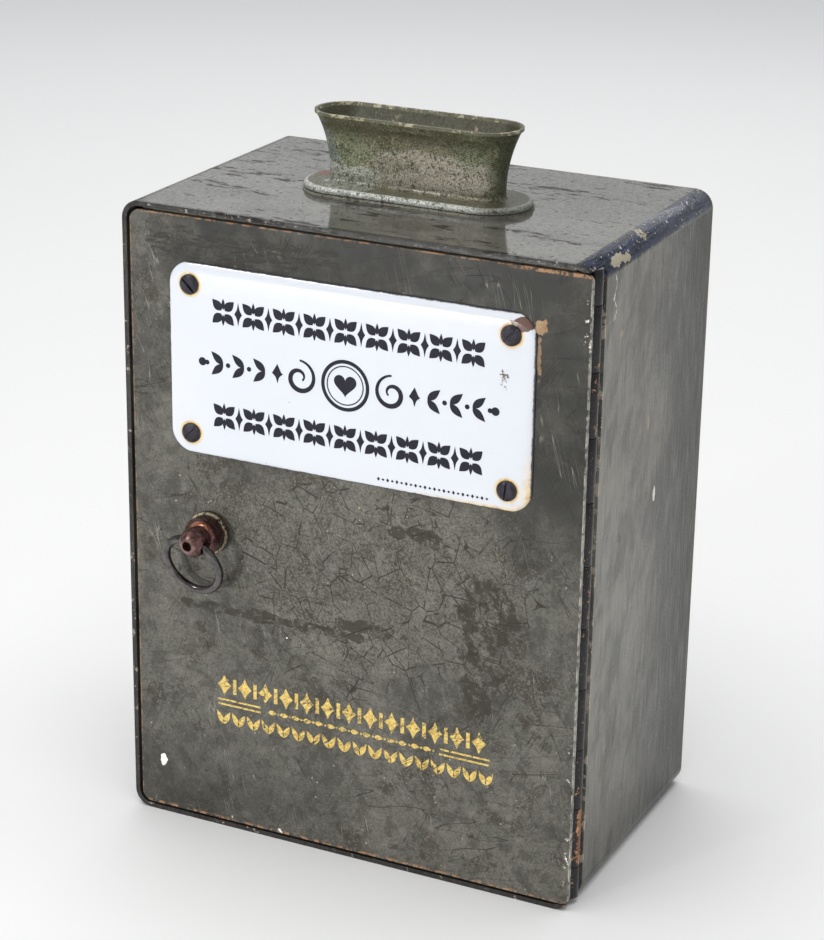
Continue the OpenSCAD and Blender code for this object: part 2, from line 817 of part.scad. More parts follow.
module lock_bolt() {
    pin_x = knob_x + throw / 2;
    slot_w = crank_pin_r + crank_slot_clear;
    slot_low = knob_z + crank_r * cos(45) - crank_slot_end;
    slot_high = knob_z + crank_r + crank_slot_end;
    guide_w = guide_r + guide_clear;
    y0 = bolt_y - over;
    y1 = bolt_y + bolt_t + over;
    color(bare_steel) difference() {
        box([bolt_x, bolt_y, knob_z - bolt_h / 2],
            [bolt_x + bolt_tail, bolt_y + bolt_t, knob_z + bolt_h / 2]);
        box([pin_x - slot_w, y0, slot_low], [pin_x + slot_w, y1, slot_high]);
        along_y(pin_x, slot_low, slot_w, y0, y1);
        along_y(pin_x, slot_high, slot_w, y0, y1);
        box([stud_x, y0, stud_z - guide_w], [stud_x + throw, y1, stud_z + guide_w]);
        along_y(stud_x, stud_z, guide_w, y0, y1);
        along_y(stud_x + throw, stud_z, guide_w, y0, y1);
    }
}

// ---- knob, spindle and ring ----

// Section of the knob, as distance from its axis and height out from the collar's back
module knob_section() {
    ball_h = collar_y - ball_y;
    union() {
        square([collar_r, collar_t]);
        difference() {
            square([knob_neck_r + knob_root, ball_h]);
            translate([knob_neck_r + knob_root + cove_out, collar_t + cove_r]) circle(cove_r);
        }
        intersection() {
            translate([0, ball_h]) circle(ball_r);
            square([ball_r, ball_h + ball_r - nose_flat]);
        }
    }
}

// Turns what is drawn along the knob's axis to face the front, with its cross hole level
module at_knob() {
    translate([knob_x, collar_y, knob_z]) rotate([90, 0, 0])
        rotate([0, 0, -knob_tilt]) children();
}

// Half of the cross hole: straight, then flared for the curve of the ring
module cross_half() {
    cylinder(h = cross_straight, r = cross_r);
    translate([0, 0, cross_straight - seam])
        cylinder(h = ball_r - cross_straight + cross_over, r1 = cross_r, r2 = cross_mouth_r);
}

module knob() {
    ball_h = collar_y - ball_y;
    nose = ball_h + ball_r - nose_flat;
    color(copper) at_knob() difference() {
        rotate_extrude() knob_section();
        translate([0, 0, nose - nose_hole_d]) cylinder(h = nose_hole_d + over, r = nose_hole_r);
        translate([0, 0, ball_h]) rotate([0, 90, 0]) cross_half();
        translate([0, 0, ball_h]) rotate([0, -90, 0]) cross_half();
        translate([-tenon_w / 2, -tenon_w / 2, -over])
            cube([tenon_w, tenon_w, tenon_in + over]);
        translate([0, -collar_r - over, collar_y - knob_pin_y]) rotate([-90, 0, 0])
            cylinder(h = 2 * collar_r + 2 * over, r = knob_pin_r);
    }
}

module knob_pin() {
    half = collar_r - knob_pin_sunk;
    color(bare_steel) at_knob() translate([0, -half, collar_y - knob_pin_y])
        rotate([-90, 0, 0]) cylinder(h = 2 * half, r = knob_pin_r);
}

module spindle() {
    color(bare_steel) difference() {
        union() {
            along_y(knob_x, knob_z, spindle_r, collar_y, crank_disc_y + crank_disc_t / 2);
            along_y(knob_x, knob_z, crank_disc_r, crank_disc_y, crank_disc_y + crank_disc_t);
            along_y(knob_x + throw / 2, knob_z + throw / 2, crank_pin_r,
                crank_disc_y + crank_disc_t / 2, crank_pin_back);
            at_knob() translate([-tenon_w / 2, -tenon_w / 2, -tenon_root])
                cube([tenon_w, tenon_w, tenon_in + tenon_root - tenon_clear]);
        }
        at_knob() translate([0, -collar_r, collar_y - knob_pin_y]) rotate([-90, 0, 0])
            cylinder(h = 2 * collar_r, r = knob_pin_r);
    }
}

module pull_ring() {
    color(iron) translate([knob_x, ball_y, knob_z]) rotate([90, 0, 0])
        rotate([0, 0, -knob_tilt]) rotate([ring_lean, 0, 0]) translate([0, -ring_r, 0])
            rotate_extrude() translate([ring_r, 0]) circle(wire_r);
}

case_shell();
back_panel();
door_stop_top();
door_stop_left();
door_stop_bottom();
strike_plate();
strike_rivets();
hinge_case_leaf();
case_leaf_rivets();
hinge_pin();
coin_mouth();
mouth_studs();
mouth_nuts();
coin_chute();
chute_baffle();
baffle_rivets();
door_panel();
door_frame();
hinge_door_leaf();
door_leaf_rivets();
name_plate();
plate_screws();
plate_nuts();
escutcheon();
escutcheon_nut();
lock_case();
lock_cover();
cover_screws();
guide_stud();
bolt_spring();
knob();
knob_pin();
spindle();
pull_ring();
lock_bolt();
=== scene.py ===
"""The looks of the donation box: softened edges, enamel, gilding, worn paint, floor and light."""
import json
import math

import bmesh
import bpy
from mathutils import Matrix, Vector


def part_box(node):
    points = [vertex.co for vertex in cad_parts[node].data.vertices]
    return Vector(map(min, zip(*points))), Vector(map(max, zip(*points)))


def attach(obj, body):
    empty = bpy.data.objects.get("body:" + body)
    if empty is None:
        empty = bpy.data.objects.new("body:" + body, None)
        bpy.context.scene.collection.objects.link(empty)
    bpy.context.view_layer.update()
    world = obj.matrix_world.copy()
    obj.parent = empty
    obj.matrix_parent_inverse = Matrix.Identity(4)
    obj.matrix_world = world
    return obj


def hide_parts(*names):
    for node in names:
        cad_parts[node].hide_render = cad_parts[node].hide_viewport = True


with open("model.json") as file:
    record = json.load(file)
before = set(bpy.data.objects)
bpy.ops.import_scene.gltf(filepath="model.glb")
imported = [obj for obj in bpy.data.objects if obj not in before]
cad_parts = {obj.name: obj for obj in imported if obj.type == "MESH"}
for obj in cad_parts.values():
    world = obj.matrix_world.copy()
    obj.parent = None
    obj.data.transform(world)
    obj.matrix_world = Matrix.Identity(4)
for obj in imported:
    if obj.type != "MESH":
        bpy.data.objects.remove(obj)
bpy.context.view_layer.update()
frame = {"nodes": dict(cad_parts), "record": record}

MM = 0.001
case_lo, case_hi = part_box("case_shell")
door_lo, door_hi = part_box("door_panel")
plate_lo, plate_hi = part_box("name_plate")
mouth_lo, mouth_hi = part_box("coin_mouth")
knob_lo, knob_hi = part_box("knob")
screws_lo, screws_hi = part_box("plate_screws")
knuckles_lo, knuckles_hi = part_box("hinge_case_leaf")
knob_at = (knob_lo + knob_hi) / 2
FRONT = door_lo.y / MM   # y of the door's front face, in millimetres
body_of_node = {
    node: body
    for body, nodes in frame["record"]["behaviour"]["bodies"].items()
    for node in nodes
}
slot_of_node = {s["node"]: s["material_slot"] for s in frame["record"]["subparts"]}


# ---- node materials ----

class Shader:
    """One node material. Lengths are in millimetres, and a pattern or mask is an output socket."""

    def __init__(self, name):
        self.material = bpy.data.materials.new(name)
        self.material.use_nodes = True
        self.tree = self.material.node_tree
        self.surface = self.tree.nodes["Principled BSDF"]
        place = self.tree.nodes.new("ShaderNodeTexCoord").outputs["Object"]
        self.at = self.vector("MULTIPLY", place, (1 / MM, 1 / MM, 1 / MM))
        self.x, self.y, self.z = self.split(self.at)

    def connect(self, value, socket):
        """Feeds a socket, a colour or a number into an input."""
        if isinstance(value, bpy.types.NodeSocket):
            self.tree.links.new(value, socket)
        elif socket.type == "RGBA":
            socket.default_value = (*value, 1.0)
        else:
            socket.default_value = value

    def node(self, kind, values, output=0, **settings):
        made = self.tree.nodes.new("ShaderNode" + kind)
        for key, value in settings.items():
            setattr(made, key, value)
        for key, value in values.items():
            self.connect(value, made.inputs[key])
        return made.outputs[output]

    # numbers and vectors

    def math(self, operation, a, b=0.0, clamp=False):
        return self.node("Math", {0: a, 1: b}, operation=operation, use_clamp=clamp)

    def plus(self, a, b):
        return self.math("ADD", a, b)

    def minus(self, a, b):
        return self.math("SUBTRACT", a, b)

    def size(self, a):
        return self.math("ABSOLUTE", a)

    def least(self, a, b):
        return self.math("MINIMUM", a, b)

    def most(self, *values):
        top = values[0]
        for value in values[1:]:
            top = self.math("MAXIMUM", top, value)
        return top

    def times(self, *factors):
        product = factors[0]
        for factor in factors[1:]:
            product = self.math("MULTIPLY", product, factor)
        return product

    def vector(self, operation, a, b=(0, 0, 0)):
        return self.node("VectorMath", {0: a, 1: b}, operation=operation)

    def split(self, vector):
        made = self.tree.nodes.new("ShaderNodeSeparateXYZ")
        self.tree.links.new(vector, made.inputs[0])
        return made.outputs

    def length(self, vector):
        return self.node("VectorMath", {0: vector}, output="Value", operation="LENGTH")

    def from_axis(self, middle):
        """Distance from the line through middle that runs from front to back."""
        away = self.vector("SUBTRACT", self.at, tuple(middle))
        return self.length(self.vector("MULTIPLY", away, (1, 0, 1)))

    # places to look a pattern up at

    def shifted(self, place, shift):
        return self.vector("ADD", place, (shift, shift, shift))

    def stretched(self, sx, sy, sz, shift=0.0):
        return self.shifted(self.vector("MULTIPLY", self.at, (sx, sy, sz)), shift)

    def turned(self, degrees, axis):
        return self.node("VectorRotate", {"Vector": self.at, "Angle": math.radians(degrees)},
            rotation_type=axis)

    # patterns

    def noise(self, per_mm, detail=3.0, rough=0.5, distortion=0.0, at=None, shift=0.0):
        place = at or (self.shifted(self.at, shift) if shift else self.at)
        return self.node("TexNoise", {"Vector": place, "Scale": per_mm, "Detail": detail,
            "Roughness": rough, "Distortion": distortion})

    def cells(self, per_mm, feature="F1", at=None):
        return self.node("TexVoronoi", {"Vector": at or self.at, "Scale": per_mm}, feature=feature)

    def hairs(self, across, along, degrees, cut, shift=0.0):
        """Thin scratches in the x-z plane, turned from level; cut is how wide a line is."""
        stretched = self.vector("MULTIPLY", self.turned(degrees, "Y_AXIS"), (along, across, across))
        return self.line(self.noise(1.0, 2, 0.6, at=self.shifted(stretched, shift)), 0.5, cut)

    # masks, from 0 to 1

    def ramp(self, value, low, high):
        """0 at low, 1 at high, eased between them. High may be below low."""
        return self.node("MapRange", {0: value, 1: low, 2: high, 3: 0.0, 4: 1.0},
            interpolation_type="SMOOTHSTEP")

    def band(self, value, low, high, soft):
        """1 between low and high, with soft ends."""
        rise = self.ramp(value, low - soft, low)
        return self.times(rise, self.ramp(value, high + soft, high))

    def line(self, value, middle, half):
        """1 where value is within half of middle."""
        return self.ramp(self.size(self.minus(value, middle)), half, half * 0.3)

    def patches(self, per_mm, low, high, detail=3.0, rough=0.5, shift=0.0):
        """Clouds of noise, cut between low and high."""
        return self.ramp(self.noise(per_mm, detail, rough, shift=shift), low, high)

    def dots(self, per_mm, low, high, at=None):
        """Scattered dots, solid within high of their middles and gone past low, in spacings."""
        return self.ramp(self.cells(per_mm, at=at), low, high)

    def spot(self, middle, radii, ragged=0.35, grain=0.7):
        """A ragged patch round middle; grain is how fine its border is."""
        away = self.vector("SUBTRACT", self.at, tuple(middle))
        reach = self.length(self.vector("DIVIDE", away, tuple(radii)))
        torn = self.math("MULTIPLY", self.minus(self.noise(grain, 3), 0.5), 4 * ragged)
        return self.ramp(self.plus(reach, torn), 1.0, 0.85)

    # colours

    def mix(self, share, a, b):
        made = self.tree.nodes.new("ShaderNodeMix")
        made.data_type = "RGBA"
        for key, value in ((0, share), (6, a), (7, b)):
            self.connect(value, made.inputs[key])
        return made.outputs[2]

    def over(self, tone, colour, mask, share=1.0):
        """Tone with colour laid over it where mask is 1, as thick as share."""
        return self.mix(mask if share == 1.0 else self.times(mask, share), tone, colour)

    def level(self, share, a, b):
        """A number between a and b."""
        return self.node("Mix", {0: share, 2: a, 3: b}, data_type="FLOAT")

    def done(self, colour, roughness, height=None, depth=0.02, metal=0.0, **surface):
        """Connects the surface. Depth is the height of the bumps in millimetres."""
        values = {"Base Color": colour, "Roughness": roughness, "Metallic": metal, **surface}
        if height is not None:
            values["Normal"] = self.node("Bump", {"Height": height, "Strength": 1.0,
                "Distance": depth * MM})
        for key, value in values.items():
            self.connect(value, self.surface.inputs[key])
        return self.material


# ---- paint on the door and the case ----

OLIVE = (0.074, 0.070, 0.058)
OLIVE_PALE = (0.120, 0.115, 0.096)
OLIVE_DEEP = (0.034, 0.031, 0.023)
OLIVE_WORN = (0.19, 0.18, 0.15)
DUST = (0.25, 0.24, 0.205)
FLECK = (0.48, 0.47, 0.42)
BLOTCH = (0.036, 0.031, 0.020)
SOOT = (0.022, 0.020, 0.016)
BONE = (0.86, 0.84, 0.76)   # the ground coat, bare in the chips


def paint_ground(s):
    """Olive-black paint: cloudy and finely speckled. Returns colour, roughness and grain."""
    grain = s.noise(1.1, 4, 0.8)
    mottle = s.noise(0.16, 5, 0.7, shift=91.0)
    tone = s.mix(s.patches(0.022, 0.32, 0.66, 4, 0.6), OLIVE, OLIVE_PALE)
    tone = s.over(tone, SOOT, s.ramp(grain, 0.50, 0.62), 0.50)
    tone = s.over(tone, DUST, s.ramp(grain, 0.46, 0.34), 0.35)
    tone = s.over(tone, OLIVE_DEEP, s.ramp(mottle, 0.50, 0.42), 0.50)
    tone = s.over(tone, OLIVE_WORN, s.ramp(mottle, 0.56, 0.66), 0.40)
    blotches = s.times(s.patches(0.05, 0.55, 0.60, 6, 0.68, shift=31.0), s.ramp(grain, 0.40, 0.52))
    tone = s.over(tone, BLOTCH, blotches, 0.8)
    flecks = s.times(s.dots(0.2, 0.085, 0.05), s.patches(0.03, 0.46, 0.58, 2, shift=51.0))
    tone = s.over(tone, FLECK, flecks, 0.8)
    roughness = s.level(s.noise(0.03, 3, shift=7.0), 0.17, 0.40)
    return tone, roughness, grain


# colour of the painted shade on the door
DOOR_PAINTED_SHADE = (0.020, 0.020, 0.017)
DOOR_PALE_MIDDLE = (0.20, 0.19, 0.155)
DOOR_CRACK = (0.020, 0.016, 0.008)
DOOR_SCUFF = (0.30, 0.29, 0.25)
DOOR_SMEAR = (0.026, 0.022, 0.013)
RUBBED_DARK = (0.20, 0.09, 0.04)
RUBBED_PALE = (0.50, 0.30, 0.16)
# colour of the painted highlight on the door's right edge
DOOR_EDGE_HIGHLIGHT = (0.50, 0.47, 0.40)
RUST_DARK = (0.20, 0.10, 0.045)
RUST_PALE = (0.60, 0.42, 0.24)


def door_spot(s, x, z, half_width, half_height, ragged, grain, depth=9):
    """A ragged patch on the door's front face."""
    return s.spot((x, FRONT, z), (half_width, depth, half_height), ragged, grain)


def painted_door_shade(s, lo, hi):
    """Painted shade along the top, beside the plate and low on the left."""
    soft = s.level(s.patches(0.07, 0.35, 0.6, 4, 0.6, shift=14.0), 0.60, 0.95)
    top = s.times(s.ramp(s.z, hi.z - 40, hi.z - 12), s.ramp(s.x, lo.x, lo.x + 30))
    right = s.times(s.ramp(s.z, hi.z - 150, hi.z - 70), s.ramp(s.x, hi.x - 40, hi.x - 20))
    low = s.times(s.ramp(s.z, lo.z + 60, lo.z + 10), s.ramp(s.x, lo.x + 110, lo.x + 10), 0.7)
    return s.times(s.most(top, right, low), soft)


def door_marks(s):
    """Crackle in the middle of the door, and dark hair scratches."""
    crackle = []
    for per_mm, half, degrees, shift in ((0.085, 0.020, 20, 0.0), (0.13, 0.026, 70, 40.0)):
        place = s.vector("MULTIPLY", s.turned(degrees, "Y_AXIS"), (1.0, 1.0, 0.6))
        gaps = s.cells(per_mm, "DISTANCE_TO_EDGE", at=s.shifted(place, shift))
        where = s.patches(0.11, 0.47, 0.53, 3, 0.6, shift=12.0 + shift)
        crackle.append(s.times(s.ramp(gaps, half, half * 0.3), where))
    middle = door_spot(s, 15, 122, 70, 50, 0.45, 0.05, depth=90)
    hair = s.most(
        s.times(s.hairs(0.10, 0.010, 12, 0.005), s.patches(0.02, 0.45, 0.6, 2, shift=3.0)),
        s.times(s.hairs(0.16, 0.012, -58, 0.005, 20.0), s.patches(0.04, 0.50, 0.58, 2, shift=44.0)),
        s.times(s.hairs(0.20, 0.016, 64, 0.006, 50.0), s.patches(0.04, 0.50, 0.58, 2, shift=66.0)))
    return s.most(s.times(s.most(*crackle), middle), s.times(hair, 0.8))


def door_smears(s):
    """One long smear on the left, a broad dark patch on the right, and a small one above."""
    smears = s.most(
        door_spot(s, -38, 99, 46, 2.6, 0.55, 0.10),
        door_spot(s, 6, 104, 17, 3.0, 0.55, 0.14),
        door_spot(s, 62, 112, 15, 20, 0.45, 0.12),
        door_spot(s, 58, 84, 9, 9, 0.45, 0.12),
        door_spot(s, 34, 148, 14, 4, 0.6, 0.14))
    return s.times(smears, s.patches(0.24, 0.42, 0.52, 5, 0.75, shift=61.0))


def door_alligator(s):
    """Alligatored paint near the top left."""
    ripple = s.noise(1.0, 4, 0.65, distortion=0.6, at=s.stretched(0.10, 0.3, 0.50))
    return s.times(s.ramp(ripple, 0.49, 0.56), door_spot(s, -50, 251, 44, 8, 0.35, 0.08))


def door_rubbing(s, lo, hi, ragged):
    """Edges rubbed to bare metal: the top, its right end, the foot and the left."""
    top = s.times(s.ramp(s.z, hi.z - 0.8, hi.z - 0.4), s.ramp(ragged, 0.46, 0.58), 0.7)
    bare_end = s.times(s.ramp(s.z, hi.z - 1.7, hi.z - 1.1), s.ramp(s.x, 64, 74),
        s.ramp(ragged, 0.42, 0.50))
    foot = s.times(s.ramp(s.z, lo.z + 1.5, lo.z + 0.7), s.ramp(ragged, 0.46, 0.56), 0.8)
    left = s.times(s.ramp(s.x, lo.x + 0.7, lo.x + 0.3), s.ramp(ragged, 0.46, 0.58), 0.7)
    return s.most(top, bare_end, foot, left)


def door_chips(s, lo, hi):
    """Chips down to the ground coat: low left, down the hinge edge, along the foot, and a few dots."""
    down_hinge = s.most(s.band(s.z, 12, 30, 4), s.band(s.z, 58, 70, 4), s.band(s.z, 234, 250, 4))
    hinge_edge = s.times(s.ramp(s.x, hi.x - 3.0, hi.x - 1.2), s.patches(0.55, 0.60, 0.63, shift=71.0))
    foot = s.times(s.ramp(s.z, lo.z + 3.0, lo.z + 1.0), s.patches(0.30, 0.68, 0.71, 2, shift=25.0))
    return s.most(
        door_spot(s, -85.9, 24.2, 1.7, 3.0, 0.30, 0.6, depth=4),
        s.times(hinge_edge, down_hinge),
        s.times(foot, s.band(s.x, -72, -28, 4)),
        s.times(s.dots(0.055, 0.026, 0.016), s.patches(0.02, 0.52, 0.6, 2, shift=5.0)))


def door_paint():
    s = Shader("door_paint")
    tone, roughness, grain = paint_ground(s)
    lo, hi = door_lo / MM, door_hi / MM
    # painted shade along the door's top, beside the plate and low on the left
    tone = s.over(tone, DOOR_PAINTED_SHADE, painted_door_shade(s, lo, hi))
    # the door is paler in its middle, speckled by the grain
    pale_middle = door_spot(s, 10, 128, 70, 44, 0.25, 0.03, depth=90)
    tone = s.over(tone, DOOR_PALE_MIDDLE, s.times(pale_middle, s.ramp(grain, 0.6, 0.35)), 0.45)
    marks = door_marks(s)
    tone = s.over(tone, DOOR_CRACK, marks, 0.9)
    scuffs = s.times(s.hairs(0.14, 0.008, -76, 0.004, 80.0), s.patches(0.05, 0.52, 0.6, 2, shift=24.0))
    tone = s.over(tone, DOOR_SCUFF, scuffs, 0.5)
    tone = s.over(tone, DOOR_SMEAR, door_smears(s), 0.85)
    alligator = door_alligator(s)
    tone = s.over(tone, SOOT, alligator, 0.85)
    ragged = s.noise(0.35, 4, 0.65, shift=17.0)
    rubbed = door_rubbing(s, lo, hi, ragged)
    tone = s.over(tone, s.mix(s.noise(0.5, 3), RUBBED_DARK, RUBBED_PALE), rubbed)
    # a painted highlight along the door's right edge, beside the hinge
    painted_edge_highlight = s.times(s.ramp(s.x, hi.x - 0.5, hi.x - 0.3), s.ramp(ragged, 0.38, 0.60))
    tone = s.over(tone, DOOR_EDGE_HIGHLIGHT, painted_edge_highlight, 0.75)
    chips = door_chips(s, lo, hi)
    tone = s.over(tone, BONE, chips)
    # rust that has run from the plate's upper right corner
    stain = s.most(
        door_spot(s, 79.8, 239.5, 2.6, 3.6, 0.40, 0.5, depth=4),
        s.times(door_spot(s, 79.4, 229, 0.9, 9, 0.6, 0.5, depth=4), 0.7))
    tone = s.over(tone, s.mix(ragged, RUST_DARK, RUST_PALE), stain, 0.85)
    height = s.minus(s.times(grain, 0.3), s.most(marks, chips, alligator))
    roughness = s.level(s.most(rubbed, chips, stain), roughness, 0.6)
    return s.done(tone, roughness, height, 0.07, **{"Specular IOR Level": 0.40})


SIDE_PALE = (0.26, 0.25, 0.215)
SIDE_REAR = (0.020, 0.020, 0.018)
STREAK_PALE = (0.28, 0.27, 0.235)
STREAK_DARK = (0.034, 0.032, 0.026)
VEIL_DARK = (0.036, 0.034, 0.028)
VEIL_PALE = (0.27, 0.26, 0.225)
SIDE_FOOT = (0.030, 0.029, 0.024)
TOP_DARK = (0.040, 0.039, 0.034)
SMUDGE = (0.020, 0.016, 0.010)
INDIGO = (0.036, 0.046, 0.088)
INDIGO_BLACK = (0.008, 0.009, 0.014)
ORANGE = (0.42, 0.27, 0.15)
OLD_FILLER = (0.42, 0.38, 0.28)
BARE_DARK = (0.20, 0.15, 0.10)
BARE_PALE = (0.42, 0.32, 0.20)
RIM_BLACK = (0.016, 0.015, 0.014)
RIM_WORN = (0.45, 0.40, 0.34)
# colour of the worn chips and the painted highlight on the side's front edge
NOTCH_WEAR_AND_HIGHLIGHT = (0.62, 0.52, 0.40)


def side_paint(s, tone, lo, hi, streak):
    """The sides: brushed streaks and slanting veils, paler towards the front."""
    slanted = s.vector("MULTIPLY", s.turned(24, "X_AXIS"), (0.03, 0.055, 0.026))
    veil = s.noise(1.0, 4, 0.65, at=slanted)
    forward = s.ramp(s.y, hi.y, lo.y)
    tone = s.over(tone, SIDE_PALE, s.times(forward, s.level(veil, 0.5, 1.0)))
    tone = s.over(tone, SIDE_REAR, s.ramp(s.y, -5, hi.y - 10), 0.9)
    tone = s.over(tone, STREAK_PALE, s.ramp(streak, 0.50, 0.62), 0.28)
    tone = s.over(tone, STREAK_DARK, s.ramp(streak, 0.47, 0.36), 0.40)
    tone = s.over(tone, VEIL_DARK, s.ramp(veil, 0.55, 0.38), 0.60)
    tone = s.over(tone, VEIL_PALE, s.times(s.ramp(veil, 0.52, 0.70), s.level(forward, 0.1, 0.5)))
    return s.over(tone, SIDE_FOOT, s.ramp(s.z, lo.z + 60, lo.z + 5), 0.5)


def top_smudges(s, on_top):
    """Dark smudges, specks and drips on the top."""
    smudges = s.ramp(s.noise(1.0, 6, 0.75, at=s.stretched(0.04, 0.12, 0.1, 9.0)), 0.56, 0.61)
    specks = s.times(s.patches(0.5, 0.58, 0.64, 5, 0.8, shift=81.0), 0.6)
    drips = s.times(s.dots(0.16, 0.14, 0.08, at=s.stretched(1.0, 1.0, 0.1)), 0.9)
    return s.times(s.most(smudges, specks, drips), on_top)


def bend_rubbing(s, hi, ragged):
    """The upper right bend, rubbed through with a ragged border. Returns mask and colour."""
    edge = s.plus(s.plus(s.x, s.z), s.times(ragged, 4.0))
    corner = hi.x + hi.z
    rubbed = s.times(s.ramp(edge, corner - 5.4, corner - 4.4), s.ramp(s.x, 0, 1))
    lines = s.noise(1.0, 4, 0.7, at=s.stretched(0.9, 0.10, 0.9, 3.0))
    return rubbed, s.mix(s.ramp(lines, 0.42, 0.60), INDIGO, INDIGO_BLACK)


def bend_filler(s, hi, grain):
    """Patches of old filler that show on the upper right bend."""
    return s.most(
        s.spot((hi.x - 1.4, -38, hi.z - 3.8), (3.0, 6.0, 2.4), 0.45, 0.35),
        s.spot((hi.x - 0.6, -30, hi.z - 4.6), (2.0, 4.5, 1.8), 0.45, 0.5),
        s.times(s.spot((hi.x - 4, -8, hi.z - 1.4), (4, 3.0, 3), 0.5, 0.5), s.ramp(grain, 0.45, 0.5)))


def side_chips(s, hi, rubbed):
    """One chip in the middle of the right side, a split near its front, and flakes on the bend."""
    wander = s.times(s.minus(s.noise(0.16, 3), 0.5), 12)
    split = s.times(s.line(s.plus(s.y, wander), -41, 0.5), s.patches(0.4, 0.42, 0.5, 2),
        s.band(s.z, 241, 257, 2), s.ramp(s.x, hi.x - 2, hi.x - 1))
    flakes = s.times(rubbed, s.patches(0.6, 0.62, 0.65, 4, 0.75, shift=41.0))
    return s.most(s.spot((hi.x, 10.6, 153), (3, 1.5, 3.4), 0.25, 0.5), split, flakes)


def rear_rubbing(s, lo, hi, ragged):
    """The case's outline at the back, rubbed bare."""
    from_side = s.minus(hi.x, s.size(s.x))
    from_end = s.least(s.minus(s.z, lo.z), s.minus(hi.z, s.z))
    outline = s.ramp(s.least(from_side, from_end), 1.2, 0.6)
    return s.times(s.ramp(s.y, hi.y - 0.9, hi.y - 0.4), s.ramp(ragged, 0.36, 0.48), outline)


def front_rim(s, tone, lo, hi, ragged):
    """The case's black front rim with its worn places, and the edge beside the hinge, worn in chips and
    with a painted highlight.
    """
    tone = s.over(tone, RIM_BLACK, s.ramp(s.y, lo.y + 2.6, lo.y + 1.2), 0.9)
    rim_wear = s.times(s.ramp(s.y, lo.y + 0.5, lo.y + 0.1), s.ramp(ragged, 0.60, 0.66))
    tone = s.over(tone, RIM_WORN, rim_wear, 0.7)
    # worn chips and a painted highlight on the side's front edge beside the hinge
    notch_wear_and_highlight = s.times(s.ramp(s.y, -49.2, -49.9), s.ramp(s.x, hi.x - 3, hi.x - 1),
        s.patches(0.2, 0.52, 0.56, 4, 0.75, shift=29.0))
    return s.over(tone, NOTCH_WEAR_AND_HIGHLIGHT, notch_wear_and_highlight, 0.85)


def case_gloss(s, hi, streak, grain, on_top, smudge):
    """Glossier on pale streaks, on the top and towards the front; dull in smudges and grain."""
    gloss = s.level(s.ramp(streak, 0.40, 0.60), 0.26, 0.50)
    gloss = s.times(gloss, s.level(s.ramp(grain, 0.42, 0.58), 1.15, 0.55))
    gloss = s.times(gloss, s.level(s.most(on_top, s.ramp(s.y, hi.y, 0)), 0.55, 1.0))
    return s.level(s.times(smudge, 0.9), gloss, 0.05)


def case_paint():
    s = Shader("case_paint")
    tone, roughness, grain = paint_ground(s)
    lo, hi = case_lo / MM, case_hi / MM
    streak = s.noise(1.0, 5, 0.7, at=s.stretched(0.8, 0.8, 0.04))
    ragged = s.noise(0.30, 5, 0.75, shift=15.0)
    on_top = s.ramp(s.z, hi.z - 3, hi.z - 0.5)
    tone = side_paint(s, tone, lo, hi, streak)
    smudge = top_smudges(s, on_top)
    tone = s.over(tone, TOP_DARK, on_top, 0.6)
    tone = s.over(tone, SMUDGE, smudge, 0.85)
    rubbed, indigo = bend_rubbing(s, hi, ragged)
    tone = s.over(tone, indigo, rubbed)
    orange = s.most(
        s.spot((hi.x, -33, 232), (3, 1.6, 1.6), 0.2),
        s.spot((hi.x, 0.5, 186), (3, 1.0, 3.2), 0.3))
    tone = s.over(tone, ORANGE, orange, 0.8)
    filler = bend_filler(s, hi, grain)
    tone = s.over(tone, OLD_FILLER, filler)
    chips = side_chips(s, hi, rubbed)
    tone = s.over(tone, BONE, chips)
    rear = rear_rubbing(s, lo, hi, ragged)
    tone = s.over(tone, s.mix(s.noise(0.4, 3), BARE_PALE, BARE_DARK), rear)
    tone = front_rim(s, tone, lo, hi, ragged)
    pits = s.dots(0.09, 0.12, 0.06, at=s.stretched(1.0, 1.0, 0.4))
    pits = s.times(pits, s.patches(0.05, 0.50, 0.6, 2))
    tone = s.over(tone, SOOT, pits, 0.85)
    rise = s.times(s.plus(grain, streak), s.level(on_top, 0.6, 0.05))
    height = s.minus(rise, s.most(pits, filler, s.times(smudge, 0.4)))
    roughness = s.level(on_top, roughness, s.level(ragged, 0.05, 0.13))
    roughness = s.level(s.most(rear, chips, filler, s.times(smudge, 0.6)), roughness, 0.55)
    gloss = case_gloss(s, hi, streak, grain, on_top, smudge)
    return s.done(tone, roughness, height, 0.05, **{"Specular IOR Level": gloss, "Coat Weight": 0.06})


# ---- enamel and gilding ----

ENAMEL_GREY = (0.62, 0.65, 0.71)
ENAMEL_WHITE = (0.69, 0.71, 0.75)
ENAMEL_RIM = (0.028, 0.026, 0.034)
ENAMEL_SPECK = (0.25, 0.22, 0.20)
STAIN_YELLOW = (0.80, 0.56, 0.16)
STAIN_BROWN = (0.48, 0.22, 0.06)
CHIP_BLACK = (0.045, 0.022, 0.020)
CHIP_BROWN = (0.20, 0.10, 0.07)
SCREW_HEAD = 4.1   # radius of a plate screw's head


def screw_rings(s, torn):
    """Rust round the plate's four screws."""
    low, high = screws_lo / MM, screws_hi / MM
    rings = []
    for x in (low.x + SCREW_HEAD, high.x - SCREW_HEAD):
        for z in (low.z + SCREW_HEAD, high.z - SCREW_HEAD):
            away = s.plus(s.from_axis((x, 0, z)), s.times(torn, 2.0))
            rings.append(s.ramp(away, SCREW_HEAD + 2.6, SCREW_HEAD + 1.2))
    return s.most(*rings)


